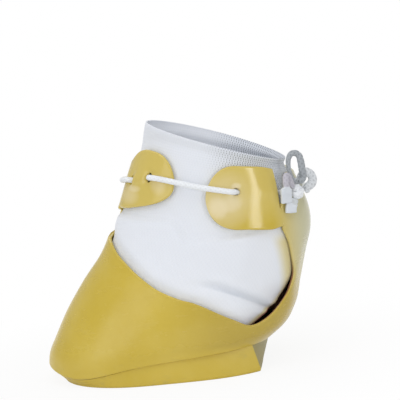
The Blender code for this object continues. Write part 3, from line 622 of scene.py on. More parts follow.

# %% The loops' lengths
for (made, path), extra in ((upper_loop, [*knot_turns, upper_end, lower_end]), (rear_loop, [])):
    print(made.name, "length", round(length_of(path) / MM, 1), "mm")

# %% [markdown]
# ## The lace round the shoe
# From the knot the lace goes round the far side, over the front, in through the first hole of the
# front flap and out of the second, across the gap to the near flap, in through its hole, along behind
# it and out through the notch to the knot. A run that moves with a flap is a piece of its own.

# %% Routes of the runs
LACE_LEVELS = (
    (-200, 0.860), (-120, 0.857), (-60, 0.838), (0, 0.838), (12, 0.844), (22, 0.853), (43, 0.873),
    (86, 0.865), (106, 0.857), (150, 0.860),
)
FRONT_HOLES, NEAR_HOLE = (22, 43), 106.1
OUTSIDE = -(LACE_DIAMETER / 2 + LACE_GAP)
INSIDE = WALL + LACE_GAP + LACE_DIAMETER / 2
HALFWAY = WALL / 2
DIVE = ((-1.55, -1), (-0.8, -0.93), (-0.38, -0.6), (0, 0), (0.38, 0.6), (0.8, 0.93), (1.55, 1))
SPLIT = 0.45 * MM
LACE_PITCH = 10 * MM
BEND_DIAMETER = LACE_DIAMETER - 0.12 * MM
UPRIGHT = (0.25, 0, 1)


def on_skin(rows):
    """Places of (turn, depth) rows at the lace's level."""
    turns, depths = (np.array(column, float) for column in zip(*rows, strict=True))
    return skin(turns, along(LACE_LEVELS, turns), depths)


def outside(turns):
    """(turn, depth) rows of a lace that lies on the skin."""
    return [(turn, OUTSIDE) for turn in turns]


def through(turn, side, spread=1.0):
    """A lace's places as it goes through the wall: inwards where side is 1, outwards where it is -1."""
    step = turn_of(LACE_DIAMETER) * spread
    return [(turn + a * step, HALFWAY + side * b * (INSIDE - OUTSIDE) / 2) for a, b in DIVE]


split_turn = turn_of(SPLIT)
near_dive = through(NEAR_HOLE, 1)
far_rows = outside(np.linspace(-199, -3, int(round(196 / turn_of(LACE_PITCH)))))
span_rows = [
    (13.6, OUTSIDE), *through(FRONT_HOLES[0], 1), *through(FRONT_HOLES[1], -1),
    *outside((56, 64, 71.5, 79, 87, 95)), *near_dive[:3], (NEAR_HOLE - split_turn, HALFWAY - SPLIT),
]
rear_rows = [
    (NEAR_HOLE + split_turn, HALFWAY + SPLIT), *near_dive[4:], (118, INSIDE), (126, INSIDE),
    *through(141.4, -1, 0.8)[:-2],
]
far_path = resampled([*knot_port((0.9, 0.25, -0.42)), *on_skin(far_rows)])
bend_path = resampled(on_skin(outside(np.linspace(-4.8, 15.4, 6))))
span_path = resampled(on_skin(span_rows))
rear_path = resampled([*on_skin(rear_rows), *knot_port((-0.85, 0.3, -0.45))[::-1]])

# %% The runs as braids
tube("lace_far_run", far_path, UPRIGHT, body="shoe", replaced=["lace_far_run"])
tube("lace_front_span", span_path, UPRIGHT, body="front_flap", replaced=["lace_front_span"])
tube("lace_rear_run", rear_path, UPRIGHT, body="shoe", replaced=["lace_rear_run"])
toe_bend = tube(
    "lace_toe_bend", bend_path, UPRIGHT, BEND_DIAMETER, BEND_DIAMETER, replaced=["lace_toe_bend"]
)
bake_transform(toe_bend)
for name, path in (("far", far_path), ("bend", bend_path), ("span", span_path), ("rear", rear_path)):
    print(name, "run", round(length_of(path) / MM, 1), "mm")

# %% [markdown]
# ## Walls with round edges
# Each panel of the upper is a wall 3 mm thick. Solidify would give it square edges, and a bevel on
# these curved outlines leaves pinched corners. Here the two faces draw together near a free edge: at a
# distance d from it, each face lies half a wall times the height of a half circle from the middle, so
# that the edge is round. A grid with narrow rows beside its edges has enough points to show this.

# %% Grids with narrow rows at their edges
EDGE_STEPS = np.array([0, 0.08, 0.25, 0.5, 0.85, 1.3, 1.9, 2.7]) * MM
EDGE_SHARE = 0.35


def graded(lengths, inner):
    """Shares of rows across strips of given lengths: narrow at the edges and even between them."""
    lengths = np.atleast_1d(np.asarray(lengths, float))[:, None]
    near = EDGE_STEPS * np.minimum(1, EDGE_SHARE * lengths / EDGE_STEPS[-1]) / np.maximum(lengths, 1e-9)
    middle = near[:, -1:] + (1 - 2 * near[:, -1:]) * np.linspace(0, 1, inner + 2)[1:-1]
    return np.concatenate([near, middle, 1 - near[:, ::-1]], 1)


def between(low, high, shares):
    """low + (high - low) * share at each column."""
    return low[:, None] + (high - low)[:, None] * shares


def height_between(turns, low, high, steps=12):
    """The length up the skin between two levels at each turn, as a sum of short steps."""
    line = outer_skin(turns[:, None], between(low, high, np.linspace(0, 1, steps + 1)))
    return np.linalg.norm(np.diff(line, axis=1), axis=2).sum(1)


def levels_between(turns, low, high, inner):
    """Each column's levels from low to high, close together near both."""
    return between(low, high, graded(height_between(turns, low, high), inner))


def grid_of(turns, levels):
    """(turn, level) places from the turns and the levels of a grid's points."""
    return np.stack(np.broadcast_arrays(turns, levels), -1)


def distance_to(points, starts, ends, chunk=1500):
    """The distance from each point to the nearest of many straight pieces."""
    way = ends - starts
    size = np.maximum(np.einsum("ij,ij->i", way, way), 1e-18)
    found = np.empty(len(points))
    for k in range(0, len(points), chunk):
        away = points[k:k + chunk, None] - starts[None]
        share = np.clip(np.einsum("ijk,jk->ij", away, way) / size, 0, 1)
        found[k:k + chunk] = np.linalg.norm(away - share[..., None] * way, axis=2).min(1)
    return found


# %% From places on the skin to a wall
INSIDE_SHIFT = 10.0
ROUNDING_SHARE = 1 / 3
NEARLY = 1e-6


def border_of(cells, count):
    """The edges that belong to one cell alone, each found by its two corner numbers."""
    edges = cells[:, [[0, 1], [1, 2], [2, 3], [3, 0]]].reshape(-1, 2)
    edges = edges[edges[:, 0] != edges[:, 1]]
    key = np.sort(edges, 1) @ np.array([count, 1])
    found, times = np.unique(key, return_counts=True)
    return edges[np.isin(key, found[times == 1])]


def wall(name, surface, places, quads, roots, finish, slot, thickness=WALL, **given):
    """A wall over (turn, level) places: two faces that meet in a half circle at each edge off the roots.

    A root is a flap's hinge turn with the lowest and the highest level at which it joins the upper.
    Places with the same turn and level are welded. The inside's UV is moved, so that a finish knows it.
    """
    keys = np.round(np.column_stack([places[:, 0] % 360, places[:, 1]]), 6)
    first, number = np.unique(keys, axis=0, return_index=True, return_inverse=True)[1:]
    place, cells = places[first], number.ravel()[quads]
    (turns, levels), count = place.T, len(place)
    border = border_of(cells, count)
    joined = np.zeros(count, bool)
    for turn, (low, high) in roots:
        joined |= (np.abs(turns - turn) < NEARLY) & (levels > low + NEARLY) & (levels < high - NEARLY)
    free = border[~joined[border].any(1)]
    on_edge = np.zeros(count, bool)
    on_edge[free.ravel()] = True
    middle = surface(turns, levels, np.full(count, thickness / 2))
    away = distance_to(middle, middle[free[:, 0]], middle[free[:, 1]])
    share = np.clip(away / (thickness * ROUNDING_SHARE), 0, 1)
    half = np.where(on_edge, 0, thickness / 2 * np.sqrt(1 - (1 - share) ** 2))
    outer, inner = (surface(turns, levels, thickness / 2 + side * half) for side in (-1, 1))
    inside = np.where(on_edge, np.arange(count), np.arange(count) + count)
    rim = border[~on_edge[border].all(1)]
    sides = np.stack([rim[:, 1], rim[:, 0], inside[rim[:, 0]], inside[rim[:, 1]]], -1)
    faces = np.concatenate([cells, inside[cells[:, ::-1]], sides])
    uv, side_uv = places * SKIN_SCALE, place[sides % count] * SKIN_SCALE
    uvs = np.concatenate([uv[quads], uv[quads[:, ::-1]] + np.array([INSIDE_SHIFT, 0]), side_uv])
    return make(name, np.concatenate([outer, inner]), faces, uvs, finish, slot, **given)


# %% [markdown]
# ## The moulding's finish
# The moulding is a soft, filled plastic with a low gloss that is a little higher on the flaps. Its
# colour could be one flat yellow, but the real one has faint clouds, specks and rubs, so layers of noise
# and height are laid over each other. Painted light goes on top: a lighter top, painted highlights on the
# flaps, a painted pale reflection and darker shade that make the heel greyer, and painted shade low on
# the rear and on the sole's rear face. The dust gathers low on the toe and along the sole, and a fine
# bump gives the face the unevenness of a mould.

# %% Where the moulding's colour changes
HEEL_FACE_LEAN, HEEL_FACE_X = 0.237, 72.7 * MM
# Each painted highlight: middle x and z, half width and half height, all in mm, then its strength.
PAINTED_HIGHLIGHTS = (
    (55.5, 118.0, 8.5, 9.5, 0.58), (65.0, 120.0, 9.0, 7.5, 0.50), (60.0, 122.0, 24.0, 24.0, 0.38),
    (69.5, 131.0, 4.5, 3.2, 0.6), (-7.0, 130.0, 9.0, 8.0, 0.34), (15.5, 137.0, 7.0, 9.0, 0.32),
    (-2.5, 134.5, 6.0, 3.0, 0.42),
)


# %% Yellow moulding
def moulding_finish(name, dust_and_shade):
    """Yellow with layers by noise and by place, several of them painted light and shade: each layer's share
    times its colour over what is below.
    """
    graph = Graph(bpy.data.materials.new(name))
    place = graph.place()
    x, y, z = graph.axes(place, 0, 1, 2)
    clouds = graph.noise(place, 14.0, 3.0)
    mottle = graph.noise(place, 90.0, 4.0, 0.6)
    grain = graph.noise(place, 1600.0, 2.0)
    specks = graph.noise(place, 420.0, 1.0).ramp(0.75, 0.80)
    rubs = graph.noise(graph.stretch(place, (60.0, 60.0, 190.0)), 1.0, 4.0, 0.65).ramp(0.56, 0.72)
    low = z.fade(2 * MM, 34 * MM)
    layers = [
        (mottle.ramp(0.35, 0.75) * 0.20, (0.690, 0.550, 0.130)),
        (rubs * (0.08 + low * (0.35 * dust_and_shade)), (0.47, 0.39, 0.12)),
        (specks * 0.2, (0.34, 0.26, 0.07)),
        # Painted light: the upper part, with the flaps, lighter as if lit more strongly.
        (z.ramp(98 * MM, 124 * MM) * 0.8, (0.67, 0.525, 0.135)),
    ]
    near_side = y.fade(-20 * MM, 0.0)
    # Painted highlights where the lamps would glint on the flaps, on the near side only.
    for *patch, share in PAINTED_HIGHLIGHTS:
        centre_x, centre_z, half_x, half_z = (length * MM for length in patch)
        one, two = (x - centre_x) * (1 / half_x), (z - centre_z) * (1 / half_z)
        highlight_spot = (one * one + two * two + mottle * 0.5).fade(0.15, 1.25)
        layers.append((highlight_spot * near_side * share, (0.90, 0.79, 0.55)))
    # Painted shade: the lower rear of the upper darker.
    low_right_shade = x.ramp(0.0, 62 * MM) * z.ramp(17 * MM, 25 * MM) * z.fade(45 * MM, 75 * MM)
    # Painted reflection and shade at the heel: paler and greyer, then darker and greener towards the back.
    rear = x.ramp(90 * MM, 113 * MM) * z.ramp(40 * MM, 75 * MM)
    # Painted shade on the sole's rear face, which faces away from the light; its share grows with the dust's.
    heel_face_shade = (x + z * HEEL_FACE_LEAN).ramp(HEEL_FACE_X, HEEL_FACE_X + 0.5 * MM)
    inside = graph.axes(graph.uv(), 0)[0].ramp(INSIDE_SHIFT / 2, INSIDE_SHIFT / 2 + 1)
    heel_shade = inside * x.ramp(52 * MM, 70 * MM) * z.fade(60 * MM, 80 * MM)
    layers += [
        (low_right_shade * 0.75, (0.46, 0.335, 0.045)),
        (rear * 0.85, (0.66, 0.615, 0.375)),
        (x.ramp(96 * MM, 120 * MM) * rear * 0.55, (0.44, 0.46, 0.33)),
        (heel_face_shade * z.fade(18 * MM, 22 * MM) * dust_and_shade, (0.28, 0.26, 0.14)),
        (heel_shade * 0.9, (0.22, 0.07, 0.05)),
    ]
    yellow = graph.blend((0.580, 0.425, 0.040), (clouds.ramp(0.3, 0.7), (0.640, 0.480, 0.066)), *layers)
    dull = 0.22 + mottle * 0.07 + rubs * 0.10 + low * (0.4 * dust_and_shade)
    return graph.finish(
        Base_Color=yellow,
        Roughness=dull - z.ramp(85 * MM, 105 * MM) * 0.12,
        IOR=1.5,
        Normal=graph.bump(grain * 0.3 + mottle * 0.7 + clouds * 1.5, 0.2 * MM, 0.35),
    )


moulding = moulding_finish("moulded_upper", 0.3)
sole_finish = moulding_finish("moulded_sole", 0.8)

# %% [markdown]
# ## The upper
# Three grids share their borders: the toe with its two side bands, the far wall over it, and the heel
# counter, whose front border is the rear edge of the window. Points with the same turn and level are
# welded, so the three become one wall, as on the real shoe.

# %% Outlines of the window and the cuff
SEAM_TURN, FRONT_HINGE_TURN, REAR_HINGE_TURN = 147.0, 8.5, 136.35
VAMP_TOP = (
    (0, 0.655), (18, 0.640), (34, 0.603), (48, 0.557), (62, 0.490), (74, 0.423), (94, 0.317),
    (111, 0.197), (125, 0.132), (134, 0.150), (SEAM_TURN, 0.240),
)
COUNTER_EDGE = (
    (0.24, SEAM_TURN), (0.27, 150.6), (0.31, 153.0), (0.343, 153.8), (0.375, 152.8), (0.413, 150.4),
    (0.507, 145.2), (0.565, 141.8), (0.60, 139.5), (0.62, 138.1), (0.632, 137.2), (0.65, REAR_HINGE_TURN),
)
NOTCH_EDGE = (
    (0.78, REAR_HINGE_TURN), (0.79, 136.8), (0.80, 137.9), (0.815, 140), (0.84, 143.6), (0.86, 146.3),
    (0.885, 149.2), (0.91, 151.8), (0.93, 154.5), (0.95, 159),
)
CUFF_TOP = ((0, 0.900), (30, 0.915), (60, 0.930), (100, 0.944), (147, 0.948), (180, 0.942))


def vamp_top(turn):
    """The level of the vamp's upper edge, the same curve on both sides."""
    return along(VAMP_TOP, np.abs(turn))


def cuff_top(turn):
    """The level of the wall's upper edge, by the turn's distance from the toe."""
    return along(CUFF_TOP, np.minimum(turn % 360, 360 - turn % 360))


def laced_edge(level):
    """The counter's front border: the window's rear edge, straight along the flap's root, then the notch."""
    low, high = COUNTER_EDGE[-1][0], NOTCH_EDGE[0][0]
    edge = np.where(level < low, along(COUNTER_EDGE, np.minimum(level, low)), REAR_HINGE_TURN)
    edge = np.where(level > high, along(NOTCH_EDGE, np.maximum(level, high)), edge)
    return np.where(level < COUNTER_EDGE[0][0], SEAM_TURN, edge)


# %% The vamp's grid and the far wall's
BACK_LENGTH, COUNTER_LENGTH = 230 * MM, 75 * MM
CUT_BACK, CUT_START, CUT_TOP, CUT_LOW_EASE, CUT_TOP_EASE = 22, -70, 0.747, 0.011, 0.016

back_turns = -SEAM_TURN + (FRONT_HINGE_TURN + SEAM_TURN) * graded([BACK_LENGTH], 62)[0]
vamp_turns = np.concatenate([back_turns, np.linspace(FRONT_HINGE_TURN, SEAM_TURN, 74)[1:]])
vamp_levels = levels_between(vamp_turns, np.zeros(len(vamp_turns)), vamp_top(vamp_turns), 26)
vamp_places = grid_of(vamp_turns[:, None], vamp_levels)

far_low, far_high = vamp_top(back_turns), cuff_top(back_turns)
far_shares = graded(height_between(back_turns, far_low, far_high), 34)
far_levels = between(far_low, far_high, far_shares)
cut_back = plateau(far_levels, far_low[:, None], CUT_TOP, CUT_LOW_EASE, CUT_TOP_EASE)
cut_share = ease((back_turns - CUT_START) / (FRONT_HINGE_TURN - CUT_START))[:, None]
far_places = grid_of(back_turns[:, None] - CUT_BACK * cut_back * cut_share, far_levels)

# %% The counter's grid
far_seam = 360 - SEAM_TURN
lay = graded([COUNTER_LENGTH], 46)[0][:, None]
top_turns = NOTCH_EDGE[-1][1] + (far_seam - NOTCH_EDGE[-1][1]) * lay
seam_level = vamp_top(SEAM_TURN)
top_levels = seam_level + (cuff_top(top_turns) - seam_level) * far_shares[0][1:]
low_levels = np.repeat(vamp_levels[:1], len(lay), 0)
counter_levels = np.concatenate([low_levels, top_levels], 1)
edge = laced_edge(counter_levels[0])
edge[:low_levels.shape[1]] = SEAM_TURN
counter_places = grid_of(edge + (far_seam - edge) * lay, counter_levels)
print("columns and rows", vamp_levels.shape, far_levels.shape, counter_levels.shape)

# %% The upper, joined to the flaps' roots
FRONT_JOIN_LEVEL = 0.75

root_levels = counter_levels[0][edge == REAR_HINGE_TURN]
rear_root = (root_levels.min(), root_levels.max())
front_levels = far_levels[-1][far_levels[-1] >= FRONT_JOIN_LEVEL]
front_root = (front_levels.min(), front_levels.max())
print("front flap's root", np.round(front_root, 4), "near flap's root", np.round(rear_root, 4))

parts = [vamp_places, far_places, counter_places]
starts = np.cumsum([0] + [part.shape[0] * part.shape[1] for part in parts[:-1]])
upper_quads = [grid_quads(*part.shape[:2]) + start for part, start in zip(parts, starts, strict=True)]
wall(
    "upper_shell",
    skin,
    np.concatenate([part.reshape(-1, 2) for part in parts]),
    np.concatenate(upper_quads),
    [(FRONT_HINGE_TURN, front_root), (REAR_HINGE_TURN, rear_root)],
    moulding,
    "moulding",
    body="shoe",
    replaced=["toe_vamp", "far_wall", "heel_counter"],
)

# %% [markdown]
# ## The two flaps
# Each flap is a tongue of the same wall with a round end. On the shoe its root stays on the upper and
# the rest turns about a flex line, whose short stretch is worked out for each flap. A lace hole is a ring
# of faces that goes from a square of the grid to a circle.

# %% A grid with a tongue's outline
ROOT_EASE, END_COLUMNS = 8, 34


def tongue(root_turn, root, end, top_table, low_table, inner_rows, root_columns):
    """(turn, level) places: even columns from the root, then columns that follow a sine to the tip.

    Past the shoulder the outline nears its middle level by (1 - past^power)^(1 / power), a full oval.
    """
    tip, shoulder, middle, top_power, low_power = end
    straight = np.linspace(root_turn, shoulder, root_columns, endpoint=False)
    curved = shoulder + (tip - shoulder) * np.sin(np.linspace(0, np.pi / 2, END_COLUMNS))
    turns = np.concatenate([straight, curved])
    past = np.clip((turns - shoulder) / (tip - shoulder), 0, 1)
    near_root = ease(1 - np.abs(turns - root_turn) / ROOT_EASE)
    edges = []
    for table, root_level, power in ((low_table, root[0], low_power), (top_table, root[1], top_power)):
        edge = along(table, turns) + (root_level - along(table, root_turn)) * near_root
        edges.append(middle + (edge - middle) * np.clip(1 - past**power, 0, 1) ** (1 / power))
    return grid_of(turns[:, None], levels_between(turns, *edges, inner_rows))


# %% Lace holes
HOLE_RADIUS, HOLE_RIM, HOLE_REACH = 2.25 * MM, 1.4 * MM, 5.0 * MM


def lace_holes(turns):
    """(turn, level) places of holes at the lace's level."""
    return [(turn, float(along(LACE_LEVELS, turn))) for turn in turns]


def pierced(grid, quads, hole, base):
    """Takes the cells round a hole away and fills the square with rings that end in a circle.

    A ring's points lie on the lines from the hole's middle to the square's points, a radius plus a step
    away. Their numbers start at base, the count of the places so far.
    """
    columns, rows = grid.shape[:2]
    scale = np.array([1 / turn_of(1.0, hole[1]), 1 / level_of(1.0)])
    local = (grid - np.array(hole)) * scale
    mid_row = np.abs(local[np.abs(local[:, rows // 2, 0]).argmin(), :, 1]).argmin()
    mid_column = np.abs(local[:, mid_row, 0]).argmin()
    a, b = np.flatnonzero(np.abs(local[:, mid_row, 0]) < HOLE_REACH)[[0, -1]]
    c, d = np.flatnonzero(np.abs(local[mid_column, :, 1]) < HOLE_REACH)[[0, -1]]
    ring = [(i, c) for i in range(a, b)] + [(b, j) for j in range(c, d)]
    ring += [(i, d) for i in range(b, a, -1)] + [(a, j) for j in range(d, c, -1)]
    ring = np.array(ring)
    if grid[1, 0, 0] < grid[0, 0, 0]:
        ring = ring[::-1]
    way = unit(local[ring[:, 0], ring[:, 1]])
    rings = [way * (HOLE_RADIUS + step) for step in EDGE_STEPS[EDGE_STEPS < HOLE_RIM][::-1]]
    numbers = [base + k * len(ring) + np.arange(len(ring)) for k in range(len(rings))]
    numbers.insert(0, ring[:, 0] * rows + ring[:, 1])
    pairs = zip(numbers[:-1], numbers[1:], strict=True)
    bands = [np.stack([p, np.roll(p, -1), np.roll(q, -1), q], -1) for p, q in pairs]
    i, j = np.divmod(quads[:, 0], rows)
    i = np.minimum(i, quads[:, 1] // rows)
    taken = (quads.max(1) < columns * rows) & (i >= a) & (i < b) & (j >= c) & (j < d)
    return np.concatenate(rings) / scale + np.array(hole), np.concatenate([quads[~taken], *bands])


def flap(name, surface, grid, hole_turns, root):
    """A tongue's wall with its lace holes, joined to the upper at its root."""
    places, quads = grid.reshape(-1, 2), grid_quads(*grid.shape[:2])
    for hole in lace_holes(hole_turns):
        new, quads = pierced(grid, quads, hole, len(places))
        places = np.concatenate([places, new])
    if grid[1, 0, 0] < grid[0, 0, 0]:
        quads = quads[:, ::-1]
    return wall(name, surface, places, quads, [root], moulding, "moulding", replaced=[name])


# %% The front flap
FRONT_TOP = ((8, 0.900), (18, 0.927), (30, 0.942), (44, 0.944), (65, 0.944))
FRONT_LOW = ((8, 0.750), (27, 0.760), (47, 0.776), (65, 0.780))
FRONT_END = (64.6, 41, 0.850, 2.3, 2.0)
FRONT_LIFT, FRONT_PULL, FRONT_SPREAD, FRONT_PULL_TURN = 1.3 * MM, 0.7 * MM, 3.5 * MM, 3.2
FRONT_UNDER = (23, 42, 5, 5)


def front_surface(turn, level, depth):
    """The skin, lifted a little where the lace passes below, and pulled in at the two holes."""
    lace = hill((level - along(LACE_LEVELS, turn)) / level_of(FRONT_SPREAD))
    pull = FRONT_PULL * sum(hill((turn - hole) / FRONT_PULL_TURN) for hole in FRONT_HOLES)
    return skin(turn, level, depth + (pull - FRONT_LIFT * plateau(turn, *FRONT_UNDER)) * lace)


front_grid = tongue(FRONT_HINGE_TURN, front_root, FRONT_END, FRONT_TOP, FRONT_LOW, 22, 26)
front_flap = flap("front_flap", front_surface, front_grid, FRONT_HOLES, (FRONT_HINGE_TURN, front_root))

# %% The near flap
NEAR_TOP = ((86, 0.950), (104, 0.950), (127, 0.960), (140, 0.957))
NEAR_LOW = ((86, 0.672), (112, 0.672), (120, 0.662), (131, 0.650), (137, 0.646))
NEAR_END = (86.3, 108, 0.830, 2.1, 1.8)
NEAR_ROOT_TOP, NOTCH_LEAN = 0.957, 20
NEAR_LIFT, NEAR_PULL, NEAR_SPREAD, NEAR_PULL_TURN = 0.25 * MM, 0.8 * MM, 4 * MM, 3.5
NEAR_UNDER = (121, 140, 6, 8)
STRIPE_TURN, STRIPE_HALF, STRIPE_TWIST, STRIPE_LEVEL, STRIPE_RISE = 116.0, 14 * MM, 0.087, 0.70, 0.22


def near_surface(turn, level, depth):
    """The skin, lifted over the lace behind the flap, pulled in at its hole, and twisted a little upwards."""
    lace = hill((level - along(LACE_LEVELS, turn)) / level_of(NEAR_SPREAD))
    pull = NEAR_PULL * hill((turn - NEAR_HOLE) / NEAR_PULL_TURN)
    aside = (turn - STRIPE_TURN) * SKIN_SCALE[0]
    twist = STRIPE_TWIST * aside * hill(aside / STRIPE_HALF) * ease((level - STRIPE_LEVEL) / STRIPE_RISE)
    return skin(turn, level, depth + (pull - NEAR_LIFT * plateau(turn, *NEAR_UNDER)) * lace - twist)


near_ends = (rear_root[0], NEAR_ROOT_TOP)
near_grid = tongue(REAR_HINGE_TURN, near_ends, NEAR_END, NEAR_TOP, NEAR_LOW, 28, 20)
root_share = (near_grid[..., 0] - NEAR_END[0]) / (REAR_HINGE_TURN - NEAR_END[0])
near_grid[..., 0] += NOTCH_LEAN * np.clip(near_grid[..., 1] - rear_root[1], 0, 1) * root_share**2
near_flap = flap("near_flap", near_surface, near_grid, [NEAR_HOLE], (REAR_HINGE_TURN, rear_root))

# %% The flaps' flex lines
FLEX_LENGTH, FLEX_STEP, FRONT_FLEX_LEVEL, NEAR_FLEX_LEVEL = 9 * MM, 3, 0.83, 0.72
joints = {joint["name"]: joint for joint in frame["joints"]}


def flex(made, body, turn, level, toward):
    """Finds a short stretch from the flex line, square to the hinge's axis, and bakes the flap's place into
    its mesh.
    """
    axis = np.array(joints[body + "_hinge"]["axis"], float)
    start = outer_skin(turn, level)
    way = outer_skin(turn + toward, level) - start
    way = unit(way - axis * (way @ axis) / (axis @ axis)) * FLEX_LENGTH
    tuple(start + way)
    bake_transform(made)
    print(made.name, "bends from", np.round(start / MM, 1), "to", np.round((start + way) / MM, 1))


flex(front_flap, "front_flap", FRONT_HINGE_TURN, FRONT_FLEX_LEVEL, FLEX_STEP)
flex(near_flap, "near_flap", REAR_HINGE_TURN, NEAR_FLEX_LEVEL, -FLEX_STEP)

# %% [markdown]
# ## The sole
# The sole is a wedge, thin at the toe and thick at the heel, with its own flat underside and a heel
# that is squarer than the upper's. It is a stack of rings from the underside up to the insole. The
# tread's slots are cut with a solid, and the result is kept as a plain mesh.

# %% A squarer heel
HEEL_CORNER_TURN = 132
HEM_SLOPE = 6.5 / 164


def squared_heel(ring, turns, corner):
    """The ring with its rear half made of two sides and a rear face. They meet in corners at two turns.

    From the widest place to the corner y falls by side^power, and from the rear to it x by rear^power.
    """
    along_share, across_share, side_power, rear_power = corner
    middle, half = ring[turns == 90, 0], np.abs(ring[turns == 90, 1])
    reach = ring[turns == -180, 0] - middle
    corner_x, corner_y = reach * along_share, half * across_share
    away = np.abs(turns)
    side = np.clip((away - 90) / (HEEL_CORNER_TURN - 90), 0, 1)
    rear = np.clip((180 - away) / (180 - HEEL_CORNER_TURN), 0, 1)
    on_side = away <= HEEL_CORNER_TURN
    x = middle + np.where(on_side, corner_x * side, reach - (reach - corner_x) * rear**rear_power)
    y = np.where(on_side, half - (half - corner_y) * side**side_power, corner_y * rear)
    made, behind = ring.copy(), away > 90
    made[behind, 0], made[behind, 1] = x[behind], (-np.sign(turns) * y)[behind]
    if ring.shape[1] == 3:
        made[behind, 2] += (x - ring[:, 0])[behind] * HEM_SLOPE
    return made


# %% Rings of the sole
SOLE_TOE, SOLE_HEEL, SOLE_HALF_WIDTH = 71.5 * MM, 74 * MM, 0.936 * HALF_UPPER
SOLE_TOE_POWER, SOLE_HEEL_POWER = 2.2, 5.0
SOLE_EDGE, HEM_OVERHANG, SEAM_GAP = 1.5 * MM, 1.5 * MM, 0.3 * MM
GROUND_CORNER, HEM_CORNER = (0.98, 0.79, 4.0, 2.0), (0.845, 0.78, 2.4, 2.2)
INSOLE_LEVEL, HEEL_INSET = 0.055, 0.03


def sole_rings():
    """Rings from the underside's rim, up the side by base + (hem - base) * share, and in to the insole."""
    turns = np.linspace(-180, 180, 181)[:-1]
    cosine, sine = np.cos(np.radians(turns)), np.sin(np.radians(turns))
    power = np.where(cosine > 0, SOLE_TOE_POWER, SOLE_HEEL_POWER)
    reach = np.where(cosine > 0, SOLE_TOE, SOLE_HEEL)
    outline = np.stack([-reach * fuller(cosine, power), -SOLE_HALF_WIDTH * fuller(sine, power)], -1)
    outline = squared_heel(outline, turns, GROUND_CORNER)
    out, down = skin_directions(turns, 0)
    hem = squared_heel(skin(turns, 0) + down * SEAM_GAP - out * HEM_OVERHANG, turns, HEM_CORNER)
    base = np.column_stack([outline, np.full(len(turns), SOLE_EDGE)])
    corner = turns == HEEL_CORNER_TURN
    print("heel corner from", np.round(base[corner] / MM, 1), "to", np.round(hem[corner] / MM, 1))
    rings = []
    for angle in np.radians((0, 22.5, 45, 67.5, 90)):
        rim = outline - unit(outline) * SOLE_EDGE * (1 - np.sin(angle))
        rings.append(np.column_stack([rim, np.full(len(turns), SOLE_EDGE * (1 - np.cos(angle)))]))
    rings += [base + (hem - base) * share for share in np.linspace(0, 1, 14)[1:]]
    ledge = skin(turns, 0, WALL + SEAM_GAP) + down * SEAM_GAP
    inset = hem + (hem.mean(0) - hem) * HEEL_INSET
    rings.append(np.where((np.abs(turns) > 90)[:, None], inset, ledge))
    rings.append(skin(turns, INSOLE_LEVEL, WALL + SEAM_GAP))
    return np.stack(rings, 1)


def closed_rings(rings):
    """The rings' points with a middle point and a ring half way to it at both ends, and all their faces."""
    count, rows = rings.shape[:2]
    low, high = (np.broadcast_to(rings[:, k].mean(0), (count, 1, 3)) for k in (0, -1))
    stack = [low, (low + rings[:, :1]) / 2, rings, (high + rings[:, -1:]) / 2, high]
    return np.concatenate(stack, 1).reshape(-1, 3), pointed_quads(count, rows + 4)


sole_points, sole_quads = closed_rings(sole_rings())
sole_uvs = sole_points[sole_quads][..., :2]
sole = make("sole_block", sole_points, sole_quads, sole_uvs, sole_finish, "moulding", sharp=50)

# %% The tread's slots as solids
SLOT_COUNT, SLOT_PITCH, SLOT_WIDTH, SLOT_DEPTH, SLOT_MARGIN = 6, 20 * MM, 5 * MM, 3 * MM, 10 * MM
SLOT_RINGS = ((-2 * MM, 0.7 * MM), (0.0, 0.45 * MM), (0.5 * MM, 0.1 * MM), (SLOT_DEPTH, 0.0))


def slot_cutter():
    """Slots with round ends, one solid each: rings at four heights, each a little wider than the slot."""
    work = bmesh.new()
    around = np.radians(np.arange(0, 181, 15))
    for k in range(SLOT_COUNT):
        x = (k - (SLOT_COUNT - 1) / 2) * SLOT_PITCH
        reach, power = (SOLE_TOE, SOLE_TOE_POWER) if x < 0 else (SOLE_HEEL, SOLE_HEEL_POWER)
        half = SOLE_HALF_WIDTH * (1 - (abs(x) / reach) ** power) ** (1 / power) - SLOT_MARGIN
        rings = []
        for height, spread in SLOT_RINGS:
            radius = SLOT_WIDTH / 2 + spread
            end = [(x + radius * np.cos(a), half - SLOT_WIDTH / 2 + radius * np.sin(a)) for a in around]
            ring = end + [(2 * x - px, -py) for px, py in end]
            rings.append([work.verts.new((px, py, height)) for px, py in ring])
        work.faces.new(rings[0][::-1])
        work.faces.new(rings[-1])
        for low, high in zip(rings[:-1], rings[1:], strict=True):
            for i in range(len(low)):
                j = (i + 1) % len(low)
                work.faces.new((low[i], low[j], high[j], high[i]))
    bmesh.ops.recalc_face_normals(work, faces=work.faces)
    mesh = bpy.data.meshes.new("slot_cutter")
    work.to_mesh(mesh)
    work.free()
    return add("slot_cutter", mesh)


# %% Cutting the tread
cutter = slot_cutter()
cut = sole.modifiers.new("slots", "BOOLEAN")
cut.operation, cut.solver, cut.object = "DIFFERENCE", "EXACT", cutter
bpy.context.view_layer.update()
shaped = bpy.data.meshes.new_from_object(sole.evaluated_get(bpy.context.evaluated_depsgraph_get()))
sole.modifiers.clear()
uncut, sole.data = sole.data, shaped
sole.data.name = "sole_block_cut"
bpy.data.meshes.remove(uncut)
bpy.data.objects.remove(cutter)
sole.data.shade_smooth()
sole.data.set_sharp_from_angle(angle=np.radians(24))
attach(sole, "shoe")
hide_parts("sole_block")
print("sole with slots", len(sole.data.polygons), "faces")

